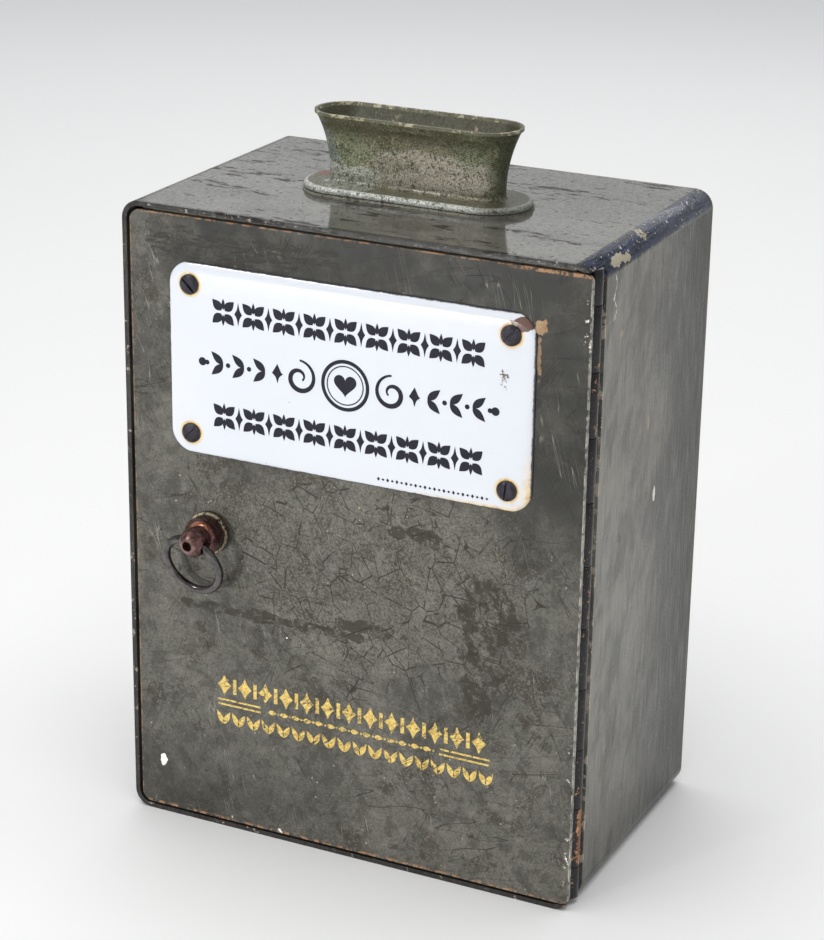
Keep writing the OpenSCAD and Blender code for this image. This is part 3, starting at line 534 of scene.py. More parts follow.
def enamel():
    """White enamel with a dark rim, rust stains and a chipped upper right corner."""
    s = Shader("enamel")
    lo, hi = plate_lo / MM, plate_hi / MM
    middle = (lo + hi) / 2
    half = (hi - lo) / 2
    # distance in from the plate's straight edges
    from_x = s.minus(half.x, s.size(s.minus(s.x, middle.x)))
    from_z = s.minus(half.z, s.size(s.minus(s.z, middle.z)))
    inside = s.least(from_x, from_z)
    torn = s.noise(0.35, 5, 0.7, shift=8.0)
    corner = s.times(s.ramp(s.x, hi.x - 14, hi.x), s.ramp(s.z, lo.z + 30, lo.z), s.ramp(inside, 6, 0))
    low_edge = s.times(s.ramp(s.x, hi.x - 60, hi.x - 10), s.ramp(from_z, 2.4, 0.2),
        s.ramp(s.z, lo.z + 6, lo.z + 5))
    stains = s.most(corner, low_edge, screw_rings(s, torn))
    stains = s.math("MULTIPLY", stains, s.ramp(torn, 0.28, 0.50), clamp=True)
    chipped = s.most(
        s.spot((hi.x - 4.5, lo.y, hi.z - 3.6), (5.2, 6, 3.4), 0.5, 0.35),
        s.times(s.spot((hi.x - 12, lo.y, 218), (1.6, 6, 3.2), 0.8, 0.9), s.ramp(torn, 0.45, 0.55)))
    rim = s.ramp(s.plus(inside, s.times(torn, -1.2)), 0.1, -0.35)
    specks = s.times(s.dots(0.16, 0.055, 0.035), s.patches(0.05, 0.45, 0.6, 2))
    tone = s.mix(s.noise(0.02, 3), ENAMEL_GREY, ENAMEL_WHITE)
    tone = s.over(tone, s.mix(s.ramp(torn, 0.45, 0.7), STAIN_YELLOW, STAIN_BROWN), stains)
    tone = s.over(tone, s.mix(s.noise(0.9, 3), CHIP_BLACK, CHIP_BROWN), chipped)
    tone = s.over(tone, ENAMEL_RIM, rim)
    tone = s.over(tone, ENAMEL_SPECK, specks, 0.7)
    damage = s.most(chipped, rim, s.times(stains, 0.5))
    height = s.minus(s.times(s.noise(0.05, 2), 1.5), s.times(damage, 0.8))
    return s.done(tone, s.level(damage, 0.10, 0.55), height, 0.12,
        **{"Coat Weight": 1.0, "Coat Roughness": 0.04})


def black_enamel():
    s = Shader("black_enamel")
    tone = s.mix(s.noise(0.6, 3), (0.008, 0.008, 0.013), (0.022, 0.022, 0.034))
    return s.done(tone, 0.35, s.noise(0.3, 2), 0.02, **{"Specular IOR Level": 0.22})


GOLD = (0.80, 0.62, 0.20)
GOLD_DEEP = (0.62, 0.40, 0.09)
UNDER_GOLD = (0.075, 0.066, 0.045)


def gilding():
    """Gold leaf, worn through in specks and scratches."""
    s = Shader("gilding")
    specks = s.patches(0.55, 0.57, 0.60, 5, 0.75, shift=4.0)
    worn = s.most(specks, s.times(s.hairs(0.5, 0.06, 35, 0.02), 0.9))
    tone = s.over(s.mix(s.patches(0.9, 0.35, 0.65), GOLD, GOLD_DEEP), UNDER_GOLD, worn)
    sound = s.minus(1.0, worn)
    return s.done(tone, s.level(worn, 0.38, 0.45), s.minus(0.5, worn), 0.03, metal=s.times(sound, 0.25))


# ---- the mouth ----

BRASS_OLIVE = (0.135, 0.13, 0.070)
BRASS_GREY = (0.30, 0.285, 0.19)
BRASS_BARE = (0.60, 0.54, 0.45)
GREEN = (0.15, 0.22, 0.115)
BLUE_GREY = (0.20, 0.24, 0.24)
FLANGE_DARK = (0.125, 0.118, 0.075)
FLANGE_PALE = (0.19, 0.175, 0.12)
# colour of the painted highlight on the flange's rounded edge
FLANGE_PAINTED_HIGHLIGHT = (0.92, 0.94, 0.88)
FLANGE_GROOVE = (0.010, 0.010, 0.008)
FLANGE_FOOT = (0.68, 0.66, 0.56)
CRUST_WHITE = (0.62, 0.65, 0.58)
PIT_BLACK = (0.024, 0.023, 0.012)
GRAIN_PALE = (0.56, 0.55, 0.41)
BRASS_DARK = (0.045, 0.043, 0.022)
BRASS_SHADE = (0.040, 0.038, 0.018)
LIP_OLIVE = (0.13, 0.125, 0.075)
LIP_WORN = (0.56, 0.50, 0.34)
SEALING_RED = (0.22, 0.07, 0.04)
TAN = (0.42, 0.34, 0.22)


def verdigris_clouds(s, tone, lo, middle, crust):
    """Green patches on the neck's left and right, blue-grey round its left end."""
    front = lo.y + 8
    green = s.most(
        s.spot((middle.x - 27, front, middle.z + 3), (13, 14, 9), 0.40, 0.10),
        s.spot((middle.x + 26, front, middle.z + 6), (9, 14, 8), 0.40, 0.10),
        s.spot((middle.x + 39, middle.y, middle.z + 4), (8, 20, 16), 0.30, 0.12))
    tone = s.over(tone, GREEN, s.times(green, s.ramp(crust, 0.38, 0.60)), 0.75)
    blue = s.spot((middle.x - 37, middle.y - 4, middle.z + 2), (7, 12, 16), 0.35, 0.12)
    return s.over(tone, BLUE_GREY, blue, 0.6)


def flange_colours(s, tone, lo, out, reach, broad, painted_flange_highlight):
    """The flange: olive above, a painted highlight down its rounded edge, with a groove and a bright
    foot.
    """
    low = s.times(s.ramp(s.z, lo.z + 4.4, lo.z + 3.4), s.ramp(out, 8, 10))
    tone = s.over(tone, s.mix(s.ramp(broad, 0.4, 0.6), FLANGE_DARK, FLANGE_PALE), low)
    # painted highlight down the flange's rounded edge
    tone = s.over(tone, FLANGE_PAINTED_HIGHLIGHT, painted_flange_highlight)
    groove = s.times(s.band(s.z, lo.z + 0.72, lo.z + 1.0, 0.1), s.ramp(out, reach - 1.5, reach - 0.8))
    tone = s.over(tone, FLANGE_GROOVE, groove, 0.9)
    foot = s.times(s.ramp(s.z, lo.z + 0.75, lo.z + 0.65), s.ramp(out, reach - 0.6, reach - 0.3))
    return s.over(tone, FLANGE_FOOT, foot, 0.9)


def mouth_grain(s, tone, fine, white):
    """White crust, black pits, pale grain and dark patches."""
    tone = s.over(tone, CRUST_WHITE, white, 0.80)
    tone = s.over(tone, PIT_BLACK, s.ramp(fine, 0.52, 0.57), 0.88)
    tone = s.over(tone, GRAIN_PALE, s.ramp(fine, 0.46, 0.40), 0.50)
    return s.over(tone, BRASS_DARK, s.patches(0.45, 0.54, 0.60, 5, 0.8, shift=90.0), 0.8)


def mouth_shade(s, middle, hi, out, reach, broad):
    """Darker under the lip, at the right end and down inside."""
    under_lip = s.times(s.ramp(s.z, middle.z + 1, hi.z - 4), s.level(s.ramp(broad, 0.4, 0.6), 0.35, 0.8))
    right_end = s.times(s.ramp(s.x, 28, 40), 0.65)
    within = s.times(s.ramp(out, reach - 6.2, reach - 7.0), s.ramp(s.z, middle.z + 2, hi.z - 3), 0.85)
    return s.most(under_lip, right_end, within)


def lip_colours(s, tone, lo, hi, middle, out):
    """The worn lip, a red trace on the flange's left end and tan smudges round the flare."""
    lip = s.ramp(s.z, hi.z - 1.3, hi.z - 0.8)
    tone = s.over(tone, LIP_OLIVE, lip, 0.6)
    worn = s.times(lip, s.patches(0.22, 0.53, 0.57, 5, 0.75, shift=33.0))
    tone = s.over(tone, LIP_WORN, worn, 0.8)
    red = s.spot((lo.x + 6, middle.y + 6, lo.z + 3), (6, 7, 3), 0.4, 0.2)
    tone = s.over(tone, SEALING_RED, red, 0.8)
    tan = s.times(s.patches(0.16, 0.60, 0.64, 4, 0.7, shift=48.0),
        s.ramp(s.z, middle.z + 4, middle.z + 9), s.ramp(out, 11, 9))
    return s.over(tone, TAN, tan, 0.7)


def verdigris():
    """Cast brass under verdigris, crusted low on the left, pinkish and bare in the middle."""
    s = Shader("verdigris_brass")
    lo, hi = mouth_lo / MM, mouth_hi / MM
    middle = (lo + hi) / 2
    reach = (hi.y - lo.y) / 2
    # distance out from the line between the centres of the mouth's round ends
    out_x = s.math("MAXIMUM", s.minus(s.size(s.x), (hi.x - lo.x) / 2 - reach), 0.0)
    out = s.length(s.node("CombineXYZ", {0: out_x, 1: s.minus(s.y, middle.y)}))
    broad = s.noise(0.06, 4, 0.65, shift=2.0)
    fine = s.noise(1.5, 4, 0.8)
    crust = s.noise(0.7, 5, 0.8, shift=60.0)
    bare = s.spot((8, lo.y + 8, middle.z - 4), (34, 16, 9), 0.30, 0.07)
    # a painted highlight down the flange's rounded edge, speckled by the crust
    painted_flange_highlight = s.times(s.band(s.z, lo.z + 1.4, lo.z + 3.7, 0.3), s.ramp(out, reach - 2.5, reach - 1.7),
        s.ramp(crust, 0.30, 0.44))
    low_left = s.spot((middle.x - 27, lo.y + 8, lo.z + 7), (17, 14, 5), 0.45, 0.12)
    thick = s.most(low_left, s.times(bare, 0.25), s.times(painted_flange_highlight, 0.5))
    white = s.ramp(s.plus(crust, s.times(thick, 0.14)), 0.57, 0.63)
    tone = s.mix(s.ramp(broad, 0.36, 0.62), BRASS_OLIVE, BRASS_GREY)
    tone = s.over(tone, BRASS_BARE, s.times(bare, s.ramp(broad, 0.30, 0.60)), 0.8)
    tone = verdigris_clouds(s, tone, lo, middle, crust)
    tone = flange_colours(s, tone, lo, out, reach, broad, painted_flange_highlight)
    tone = mouth_grain(s, tone, fine, white)
    tone = s.over(tone, BRASS_SHADE, mouth_shade(s, middle, hi, out, reach, broad))
    tone = lip_colours(s, tone, lo, hi, middle, out)
    waves = s.times(s.noise(0.25, 3, 0.6), 0.9)
    height = s.plus(s.times(fine, 0.7), s.plus(waves, s.times(white, 0.5)))
    return s.done(tone, s.level(bare, 0.42, 0.30), height, 0.10, metal=s.level(bare, 0.20, 0.35))


# ---- knob, rose, hinge and plain metals ----

KNOB_DARK = (0.070, 0.032, 0.032)
KNOB_PALE = (0.22, 0.115, 0.105)
KNOB_EDGE = (0.040, 0.024, 0.022)
KNOB_NOSE = (0.45, 0.32, 0.27)
COPPER = (0.52, 0.23, 0.13)


def knob_bronze():
    """Purple-brown bronze, rubbed to copper on the collar's front, with painted light making the copper
    strongest on its upper left.
    """
    s = Shader("knob_bronze")
    fine = s.noise(0.45, 4, 0.7)
    middle = knob_at / MM
    reach = s.from_axis(middle)
    on_collar = s.band(s.y, knob_hi.y / MM - 4.6, knob_hi.y / MM - 2.6, 0.4)
    # painted light: the copper is laid thicker towards the upper left
    lit_upper_left = s.ramp(s.minus(s.z, s.x), middle.z - middle.x - 4, middle.z - middle.x + 4)
    copper = s.times(on_collar, s.ramp(fine, 0.36, 0.56), s.level(lit_upper_left, 0.10, 1.0),
        s.ramp(reach, 6.8, 6.0))
    nose = s.ramp(s.y, knob_lo.y / MM + 0.9, knob_lo.y / MM + 0.3)
    tone = s.mix(s.ramp(fine, 0.38, 0.62), KNOB_DARK, KNOB_PALE)
    tone = s.over(tone, KNOB_EDGE, s.ramp(reach, 6.0, 6.8), 0.7)
    tone = s.over(tone, COPPER, copper)
    tone = s.over(tone, KNOB_NOSE, nose, 0.3)
    return s.done(tone, s.level(fine, 0.18, 0.36), s.noise(1.2, 3), 0.03, metal=0.75)


ROSE_BLACK = (0.030, 0.025, 0.020)
ROSE_BROWN = (0.085, 0.070, 0.050)
ROSE_RUST = (0.26, 0.13, 0.08)
ROSE_WORN = (0.60, 0.52, 0.36)


def rose_bronze():
    """Blackened; pale only round its worn rim."""
    s = Shader("rose_bronze")
    lo, hi = (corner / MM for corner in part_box("escutcheon"))
    torn = s.noise(0.55, 4, 0.7, shift=6.0)
    reach = s.from_axis((lo + hi) / 2)
    radius = (hi.x - lo.x) / 2
    worn = s.times(s.ramp(reach, radius - 1.3, radius - 0.6), s.ramp(s.y, lo.y + 1.4, lo.y + 0.8),
        s.ramp(torn, 0.44, 0.54))
    tone = s.mix(s.noise(0.4, 3), ROSE_BLACK, ROSE_BROWN)
    tone = s.over(tone, ROSE_RUST, s.ramp(torn, 0.52, 0.62), 0.5)
    tone = s.over(tone, ROSE_WORN, worn)
    return s.done(tone, s.level(worn, 0.42, 0.5), s.noise(1.0, 3), 0.05, metal=0.4)


HINGE_BLACK = (0.016, 0.016, 0.017)
HINGE_GREY = (0.036, 0.036, 0.039)
HINGE_SPECK = (0.16, 0.15, 0.14)
HINGE_BROWN = (0.26, 0.115, 0.055)
HINGE_COPPER = (0.66, 0.38, 0.20)


def hinge_steel():
    """Dark painted knuckles, rubbed to copper-brown metal near the foot and here and there above."""
    s = Shader("hinge_steel")
    lo, hi = knuckles_lo / MM, knuckles_hi / MM
    torn = s.noise(0.30, 5, 0.78, shift=19.0)
    often = s.most(
        s.times(s.band(s.z, 19, 41, 3), 1.6),
        s.times(s.band(s.z, 121, 146, 4), 0.55),
        s.times(s.band(s.z, 198, 228, 4), 0.3))
    outer = s.ramp(s.x, hi.x - 1.0, hi.x - 0.1)
    share = s.plus(torn, s.times(often, s.plus(outer, 0.2), 0.13))
    rubbed = s.times(s.ramp(share, 0.62, 0.68), s.ramp(s.y, lo.y + 6.2, lo.y + 5.0))
    tone = s.mix(s.noise(0.1, 3), HINGE_BLACK, HINGE_GREY)
    tone = s.over(tone, HINGE_SPECK, s.patches(0.9, 0.58, 0.7, 3, 0.7), 0.5)
    tone = s.over(tone, s.mix(s.ramp(torn, 0.45, 0.7), HINGE_BROWN, HINGE_COPPER), rubbed)
    return s.done(tone, s.level(rubbed, 0.26, 0.34), torn, 0.05, metal=s.level(rubbed, 0.5, 0.85))


def tarnished(name, dark, pale, worn, share, metal, roughness, depth=0.03):
    """Old metal: dark and pale tarnish in clouds, with rubbed patches over a share of it."""
    s = Shader(name)
    clouds = s.patches(0.25, 0.35, 0.65, 4, 0.65, shift=len(name) * 7.0)
    rubbed = s.patches(0.5, 1.0 - share, 1.06 - share, 4, 0.7, shift=len(name) * 3.0)
    tone = s.over(s.mix(clouds, dark, pale), worn, rubbed)
    return s.done(tone, s.level(clouds, *roughness), s.noise(1.5, 3, 0.7), depth, metal=metal)


MATERIALS = {
    "paint": case_paint(),
    "enamel": enamel(),
    "mouth": verdigris(),
    "knob": knob_bronze(),
    "brass": rose_bronze(),
    "ring": tarnished("ring_steel", dark=(0.085, 0.080, 0.085), pale=(0.17, 0.155, 0.15),
        worn=(0.36, 0.29, 0.23), share=0.30, metal=1.0, roughness=(0.14, 0.24), depth=0.01),
    "screws": tarnished("screw_steel", dark=(0.030, 0.028, 0.036), pale=(0.075, 0.070, 0.085),
        worn=(0.13, 0.11, 0.11), share=0.35, metal=0.7, roughness=(0.35, 0.55)),
    "hinge": hinge_steel(),
    "lock": tarnished("black_japan", dark=(0.012, 0.012, 0.012), pale=(0.040, 0.037, 0.032),
        worn=(0.16, 0.10, 0.06), share=0.30, metal=0.2, roughness=(0.2, 0.4)),
    "steel": tarnished("bare_steel", dark=(0.22, 0.21, 0.20), pale=(0.42, 0.41, 0.39),
        worn=(0.20, 0.12, 0.07), share=0.34, metal=0.9, roughness=(0.28, 0.5)),
}
DOOR_PAINT = door_paint()


# ---- mesh pieces ----

def new_piece(name, mesh, body, slot, material, *nodes):
    """Adds a mesh as a piece that rides on a body, and hides the CAD nodes it stands for."""
    mesh.materials.clear()
    mesh.materials.append(material)
    piece = bpy.data.objects.new(name, mesh)
    bpy.context.scene.collection.objects.link(piece)
    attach(piece, body)
    if nodes:
        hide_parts(*nodes)
    return piece


def mesh_from(bm, name, smooth_angle=35.0):
    """A finished mesh, its faces turned outwards. Flat faces square to an axis are shaded flat."""
    bmesh.ops.recalc_face_normals(bm, faces=bm.faces)
    for face in bm.faces:
        face.smooth = max(abs(c) for c in face.normal) < 0.9999
    for edge in bm.edges:
        edge.smooth = len(edge.link_faces) == 2 and edge.calc_face_angle() < math.radians(smooth_angle)
    mesh = bpy.data.meshes.new(name)
    bm.to_mesh(mesh)
    bm.free()
    return mesh


WELD = 0.002         # points of the CAD mesh closer than this are one, in millimetres
SAME_FACE = 0.5      # faces that meet at less than this are one, in degrees
SHARP_EDGE = 38.0    # edges that turn by more than this are rounded, in degrees


def softened(node, width, material=None):
    """The CAD node with its sharp edges rounded."""
    bm = bmesh.new()
    bm.from_mesh(frame["nodes"][node].data)
    bmesh.ops.remove_doubles(bm, verts=bm.verts, dist=WELD * MM)
    bmesh.ops.dissolve_limit(bm, angle_limit=math.radians(SAME_FACE), verts=bm.verts, edges=bm.edges)
    sharp = [
        edge for edge in bm.edges
        if len(edge.link_faces) == 2 and edge.calc_face_angle() > math.radians(SHARP_EDGE)
    ]
    bmesh.ops.bevel(bm, geom=sharp, offset=width * MM, offset_type="OFFSET", segments=2,
        profile=0.5, affect="EDGES", clamp_overlap=True)
    slot = slot_of_node[node]
    return new_piece(node + "_body", mesh_from(bm, node + "_body"), body_of_node[node], slot,
        material or MATERIALS[slot], node)


def rounded_outline(x0, x1, z0, z1, radius, per_corner=12):
    """Points round a rectangle with round corners, in x and z."""
    points = []
    for cx, cz, turn in ((x1, z0, -90), (x1, z1, 0), (x0, z1, 90), (x0, z0, 180)):
        ex = cx - radius if cx == x1 else cx + radius
        ez = cz - radius if cz == z1 else cz + radius
        for step in range(per_corner + 1):
            angle = math.radians(turn + 90 * step / per_corner)
            points.append((ex + radius * math.cos(angle), ez + radius * math.sin(angle)))
    return points


PLATE_RIM = 0.5        # height of the plate's upright rim
PLATE_CURL = 0.9       # height of the tight curve inside the rim
PLATE_CURL_IN = 0.8    # how far in the curl has mostly risen
PLATE_CROWN = 0.55     # height of the slow swell beyond it
PLATE_CROWN_IN = 9.0   # how far in the swell has mostly risen
PLATE_CORNER = 10.0    # radius of the plate's corners
PLATE_STEPS = (0, 0.12, 0.3, 0.55, 0.9, 1.4, 2.1, 3.0, 4.2, 6.0, 8.5, 12, 16, 21, 27, 33, 38)


def plate_height(inside):
    """Height of the enamel plate above the door, at a distance in from its edge."""
    curl = PLATE_CURL * (1 - math.exp(-inside / PLATE_CURL_IN))
    crown = PLATE_CROWN * (1 - math.exp(-inside / PLATE_CROWN_IN))
    return PLATE_RIM + curl + crown


def plate_surface(x, z):
    """y of the enamel plate's front at x, z."""
    lo, hi = plate_lo / MM, plate_hi / MM
    inside = min(x - lo.x, hi.x - x, z - lo.z, hi.z - z)
    return hi.y - plate_height(max(inside, 0))


def enamel_plate():
    """The pressed plate: an upright rim, a tight curl and a slow crown."""
    lo, hi = plate_lo / MM, plate_hi / MM
    bm = bmesh.new()

    def loop(inset, height):
        radius = max(PLATE_CORNER - inset, 0.05)
        outline = rounded_outline(lo.x + inset, hi.x - inset, lo.z + inset, hi.z - inset, radius)
        return [bm.verts.new((x * MM, (hi.y - height) * MM, z * MM)) for x, z in outline]

    loops = [loop(0, 0.0)] + [loop(inset, plate_height(inset)) for inset in PLATE_STEPS]
    for outer, inner in zip(loops, loops[1:]):
        for k in range(len(outer)):
            n = (k + 1) % len(outer)
            bm.faces.new((outer[k], outer[n], inner[n], inner[k]))
    bm.faces.new(loops[0])
    bm.faces.new(loops[-1])
    return new_piece("enamel_plate", mesh_from(bm, "enamel_plate", 50), "door", "enamel",
        MATERIALS["enamel"], "name_plate")


# ---- ornament: outlines are lists of points, bands are lists of point pairs ----

def circle(x, z, radius, count=28):
    turns = [math.tau * k / count for k in range(count)]
    return [(x + radius * math.cos(a), z + radius * math.sin(a)) for a in turns]


def leaf(x, z, length, width, turn, count=10):
    """A pointed leaf that starts at x, z and points along turn."""
    side = [(t / count, math.sin(math.pi * (t / count) ** 0.8) / 2) for t in range(count + 1)]
    outline = side + [(u, -v) for u, v in reversed(side[1:-1])]
    c, s = math.cos(math.radians(turn)), math.sin(math.radians(turn))
    return [(x + length * u * c - width * v * s, z + length * u * s + width * v * c) for u, v in outline]


def leaves(x, z, length, width, turns, gap=0.0):
    """Leaves that point out from x, z and start a gap away from it."""
    return [
        leaf(x + gap * math.cos(math.radians(a)), z + gap * math.sin(math.radians(a)), length, width, a)
        for a in turns
    ]


def lozenge(x, z, width, height, pinch=0.0, count=6):
    """A lozenge; pinch above 0 hollows its sides."""
    corners = [(width / 2, 0), (0, height / 2), (-width / 2, 0), (0, -height / 2)]
    points = []
    for k in range(4):
        (ax, az), (bx, bz) = corners[k], corners[(k + 1) % 4]
        for t in range(count):
            u = t / count
            inward = 1 - pinch * math.sin(math.pi * u)
            points.append((x + (ax + (bx - ax) * u) * inward, z + (az + (bz - az) * u) * inward))
    return points


def bar(x0, x1, z, width):
    return [(x0, z - width / 2), (x1, z - width / 2), (x1, z + width / 2), (x0, z + width / 2)]


def stroke(points, widths):
    """A band that follows points, as pairs of a left and a right point."""
    pairs = []
    for k, (x, z) in enumerate(points):
        ax, az = points[max(k - 1, 0)]
        bx, bz = points[min(k + 1, len(points) - 1)]
        length = math.hypot(bx - ax, bz - az)
        nx = -(bz - az) / length * widths[k] / 2
        nz = (bx - ax) / length * widths[k] / 2
        pairs.append(((x + nx, z + nz), (x - nx, z - nz)))
    return pairs


def volute(x, z, size, flip, turns=1.35, count=40):
    """A scroll that winds in towards x, z. Flip is 1 or -1 and mirrors it in x."""
    points = []
    widths = []
    for k in range(count + 1):
        t = k / count
        angle = math.pi / 2 + math.tau * turns * t
        reach = size * (1 - 0.80 * t)
        points.append((x + flip * reach * math.cos(angle), z + reach * math.sin(angle)))
        widths.append(0.8 + 1.2 * math.sin(math.pi * min(1.0, t * 1.1)))
    return stroke(points, widths)


def heart(x, z, size, count=36):
    points = []
    for k in range(count):
        t = math.tau * k / count
        px = 16 * math.sin(t) ** 3
        pz = 13 * math.cos(t) - 5 * math.cos(2 * t) - 2 * math.cos(3 * t) - math.cos(4 * t)
        points.append((x + size * px / 32, z + size * pz / 32))
    return points


def annulus(x, z, outer, inner, count=48):
    """A closed band round x, z."""
    pairs = []
    for k in range(count + 1):
        c, s = math.cos(math.tau * k / count), math.sin(math.tau * k / count)
        pairs.append(((x + outer * c, z + outer * s), (x + inner * c, z + inner * s)))
    return pairs


SUNK = 0.15   # how far an inlay's back goes into the surface, in millimetres


def inlay(name, shapes, bands, surface, rise, material, slot):
    """Thin raised outlines and bands on the door's front. surface gives y at x, z in millimetres."""
    bm = bmesh.new()

    def front_and_back(x, z):
        return [bm.verts.new((x * MM, (surface(x, z) + out) * MM, z * MM)) for out in (-rise, SUNK)]

    for shape in shapes:
        corners = [front_and_back(x, z) for x, z in shape]
        bm.faces.new([c[0] for c in corners])
        bm.faces.new([c[1] for c in reversed(corners)])
        for k, (front, back) in enumerate(corners):
            next_front, next_back = corners[(k + 1) % len(corners)]
            bm.faces.new((front, back, next_back, next_front))
    bmesh.ops.triangulate(bm, faces=[f for f in bm.faces if len(f.verts) > 4])
    for pairs in bands:
        closed = math.dist(pairs[0][0], pairs[-1][0]) < 0.001
        if closed:
            pairs = pairs[:-1]
        rungs = [front_and_back(*a) + front_and_back(*b) for a, b in pairs]
        count = len(rungs)
        for k in range(count if closed else count - 1):
            (a, b, c, d), (e, f, g, h) = rungs[k], rungs[(k + 1) % count]
            for face in ((a, c, g, e), (b, f, h, d), (a, e, f, b), (c, d, h, g)):
                bm.faces.new(face)
        if not closed:
            for a, b, c, d in (rungs[0], rungs[-1]):
                bm.faces.new((a, b, d, c))
    return new_piece(name, mesh_from(bm, name), "door", slot, material)


FRIEZE_UP = 21.5        # each frieze's distance above or below the plate's middle
FRIEZE_PITCH = 13.4     # from one leaf cross to the next
FRIEZE_EACH_SIDE = 4    # leaf crosses to each side of the middle one
COIN_RINGS = ((10.4, 8.9), (8.0, 7.5))
SCROLL_OUT = 19.8       # these three are distances from the plate's middle
LOZENGE_OUT = 29.6
SPRIG_OUT = 35.0
SPRIG_PITCH = 9.4
FOOT_ROW_DOWN = 35.6    # the small row's distance below the plate's middle
FOOT_ROW_START = 14.5
FOOT_ROW_PITCH = 2.0


def frieze(x0, z):
    """A row of leaf crosses with lozenges between them, at height z."""
    shapes = []
    for k in range(-FRIEZE_EACH_SIDE, FRIEZE_EACH_SIDE + 1):
        x = x0 + k * FRIEZE_PITCH
        shapes += leaves(x, z, 5.8, 3.7, (45, 135, 225, 315), gap=1.0)
        shapes += leaves(x, z, 4.6, 1.5, (90, 270), gap=1.0)
        if k < FRIEZE_EACH_SIDE:
            shapes.append(lozenge(x + FRIEZE_PITCH / 2, z, 3.4, 9.6, 0.25))
    return shapes


def sprig(x0, z0, side):
    """A lozenge and three pairs of leaves that lead away from the coin."""
    shapes = [lozenge(x0 + side * LOZENGE_OUT, z0 + 0.2, 4.8, 8.0, 0.3)]
    for k in range(3):
        x = x0 + side * (SPRIG_OUT + SPRIG_PITCH * k)
        shapes += leaves(x, z0, 7.2, 3.1, (42, -42) if side > 0 else (138, 222))
        shapes.append(circle(x + side * 7.2, z0, 1.0, 14))
    return shapes + [circle(x0 + side * 63.2, z0, 1.7)]


def plate_ornament():
    """Friezes above and below a coin with a heart, in place of lettering."""
    middle = (plate_lo + plate_hi) / (2 * MM)
    x0, z0 = middle.x, middle.z
    shapes = frieze(x0, z0 - FRIEZE_UP) + frieze(x0, z0 + FRIEZE_UP)
    bands = [annulus(x0, z0, outer, inner) for outer, inner in COIN_RINGS]
    shapes.append(heart(x0, z0 + 0.4, 9.8))
    for side in (-1, 1):
        bands.append(volute(x0 + side * SCROLL_OUT, z0, 7.2, side))
        shapes += sprig(x0, z0, side)
    for k in range(24):
        x = x0 + FOOT_ROW_START + k * FOOT_ROW_PITCH
        shapes.append(lozenge(x, z0 - FOOT_ROW_DOWN, 1.3, 1.7 - 0.6 * (k % 2)))
    return inlay("plate_ornament", shapes, bands, plate_surface, 0.05, black_enamel(), "enamel")


GILT_TOP = 65.2         # heights of the three gilt rows
GILT_MIDDLE = 57.4
GILT_LOW = 47.4
GILT_RULES = ((-59, -39), (42, 64))   # where the double rules start and end


def gilt_ornament():
    """Three worn gilt rows low on the door, in place of lettering."""
    shapes = []
    for k in range(13):
        x = -56 + k * 9.6
        shapes.append(lozenge(x, GILT_TOP, 6.4, 9.6, 0.18))
        if k < 12:
            shapes.append(bar(x + 4.0, x + 5.6, GILT_TOP, 6.8))
    for x0, x1 in GILT_RULES:
        shapes += [bar(x0, x1, GILT_MIDDLE + up, 0.8) for up in (-1.0, 1.2)]
    for k in range(14):
        x = -33.5 + k * 5.4
        shapes += [leaf(x - 1.9, GILT_MIDDLE, 3.8, 2.1, 0), circle(x + 2.7, GILT_MIDDLE, 0.55, 10)]
    for k in range(18):
        shapes += leaves(-56.5 + k * 7.0, GILT_LOW, 6.6, 2.4, (62, 118))
    return inlay("gilt_ornament", shapes, [], lambda x, z: FRONT, 0.03, gilding(), "brass")


# ---- the model ----

for node, thing in frame["nodes"].items():
    thing.data.materials.clear()
    thing.data.materials.append(MATERIALS[slot_of_node[node]])
for node in ("door_panel", "door_frame"):
    frame["nodes"][node].data.materials[0] = DOOR_PAINT

SHEET_ROUNDING = 0.45   # in millimetres
LEAF_ROUNDING = 0.25
softened("case_shell", SHEET_ROUNDING)
softened("door_panel", SHEET_ROUNDING, material=DOOR_PAINT)
for node in ("hinge_case_leaf", "hinge_door_leaf", "strike_plate"):
    softened(node, LEAF_ROUNDING)
enamel_plate()
plate_ornament()
gilt_ornament()


# ---- floor, light and camera ----

FLOOR_HALF = 6.0   # metres
CAMERA_AZIMUTH = 25.674   # degrees to the right of the front
CAMERA_ELEVATION = 20.538
CAMERA_ROLL = 0.900
CAMERA_AT = (0.434754, -0.908989, 0.526232)
CAMERA_LENS = 100


def floor_material():
    s = Shader("floor_paper")
    reach = s.length(s.vector("MULTIPLY", s.at, (1, 1, 0)))
    pale = s.mix(s.ramp(reach, 300, 2600), (0.93, 0.93, 0.925), (0.90, 0.90, 0.91))
    return s.done(pale, 0.7, s.noise(0.4, 3), 0.03)


def add_floor():
    bm = bmesh.new()
    corners = ((-1, -1), (1, -1), (1, 1), (-1, 1))
    bm.faces.new([bm.verts.new((FLOOR_HALF * x, FLOOR_HALF * y, 0)) for x, y in corners])
    mesh = bpy.data.meshes.new("floor")
    bm.to_mesh(mesh)
    bm.free()
    mesh.materials.append(floor_material())
    floor = bpy.data.objects.new("floor", mesh)
    bpy.context.scene.collection.objects.link(floor)


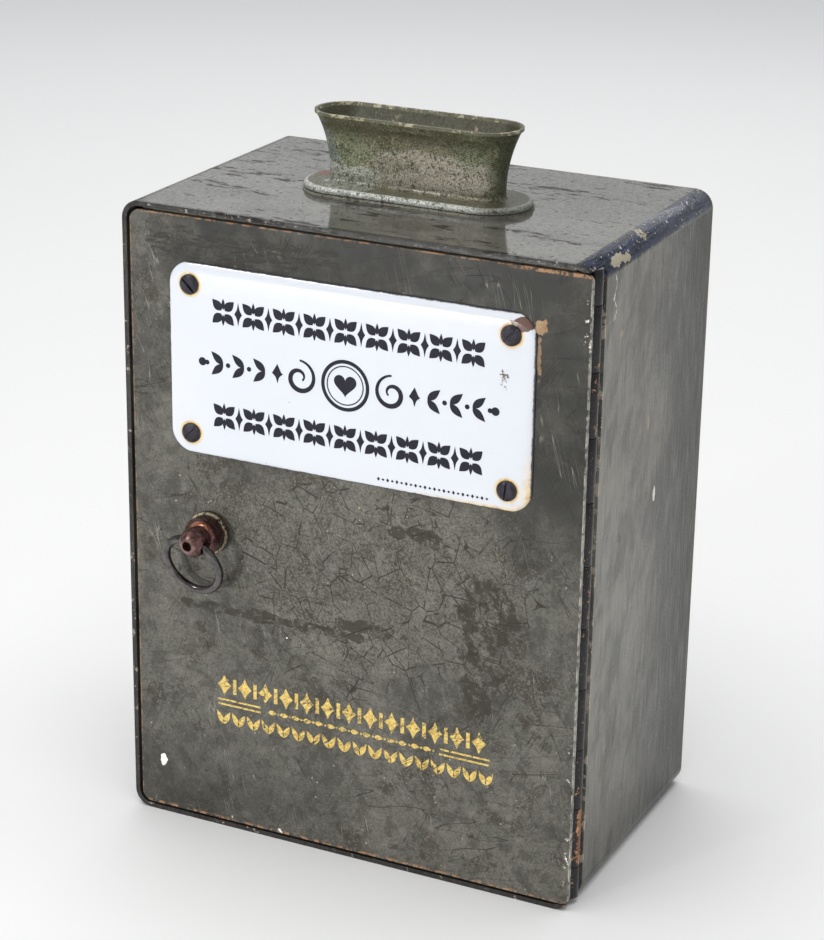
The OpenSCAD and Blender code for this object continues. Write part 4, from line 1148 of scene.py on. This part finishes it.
def add_softbox(name, place, target, width, height, power, glossy=True, diffuse=True):
    light = bpy.data.lights.new(name, "AREA")
    light.shape = "RECTANGLE"
    light.size = width
    light.size_y = height
    light.energy = power
    thing = bpy.data.objects.new(name, light)
    thing.location = place
    thing.rotation_euler = (Vector(target) - Vector(place)).to_track_quat("-Z", "Y").to_euler()
    thing.visible_glossy = glossy
    thing.visible_diffuse = diffuse
    bpy.context.scene.collection.objects.link(thing)


def add_world():
    world = bpy.data.worlds.new("studio")
    world.use_nodes = True
    world.node_tree.nodes["Background"].inputs["Color"].default_value = (0.93, 0.94, 0.95, 1)
    world.node_tree.nodes["Background"].inputs["Strength"].default_value = 0.48
    bpy.context.scene.world = world


def add_camera():
    """Looks down at the box from the front right, with a long lens."""
    azimuth, elevation, roll = (math.radians(a) for a in (CAMERA_AZIMUTH, CAMERA_ELEVATION, CAMERA_ROLL))
    forward = Vector((-math.sin(azimuth) * math.cos(elevation), math.cos(azimuth) * math.cos(elevation),
        -math.sin(elevation)))
    level = forward.cross(Vector((0, 0, 1))).normalized()
    right = level * math.cos(roll) + level.cross(forward) * math.sin(roll)
    up = right.cross(forward)
    lens = bpy.data.cameras.new("camera")
    lens.lens = CAMERA_LENS
    lens.sensor_width = 36
    camera = bpy.data.objects.new("camera", lens)
    turn = Matrix((right, up, -forward)).transposed().to_4x4()
    camera.matrix_world = Matrix.Translation(CAMERA_AT) @ turn
    bpy.context.scene.collection.objects.link(camera)
    bpy.context.scene.camera = camera


add_floor()
add_world()
add_softbox("rear_softbox", (-0.45, 1.35, 1.05), (0, 0, 0.2), width=1.6, height=1.0, power=3.2)
add_softbox("overhead_softbox", (0, -0.3, 1.9), (0, -0.1, 0), width=1.8, height=1.8, power=25,
    glossy=False)
add_softbox("backdrop_softbox", (-0.8, 2.4, 2.0), (-0.8, 2.4, 0), width=2.0, height=2.0, power=5,
    glossy=False)
add_softbox("highlight", (-0.75, -1.0, 1.1), (0, 0, 0.15), width=0.30, height=0.30, power=5,
    diffuse=False)
add_softbox("front_softbox", (-0.47, -1.3, 0.09), (-0.05, 0, 0.14), width=0.10, height=0.10, power=10,
    glossy=False)
add_camera()
bpy.context.scene.view_settings.view_transform = "Standard"
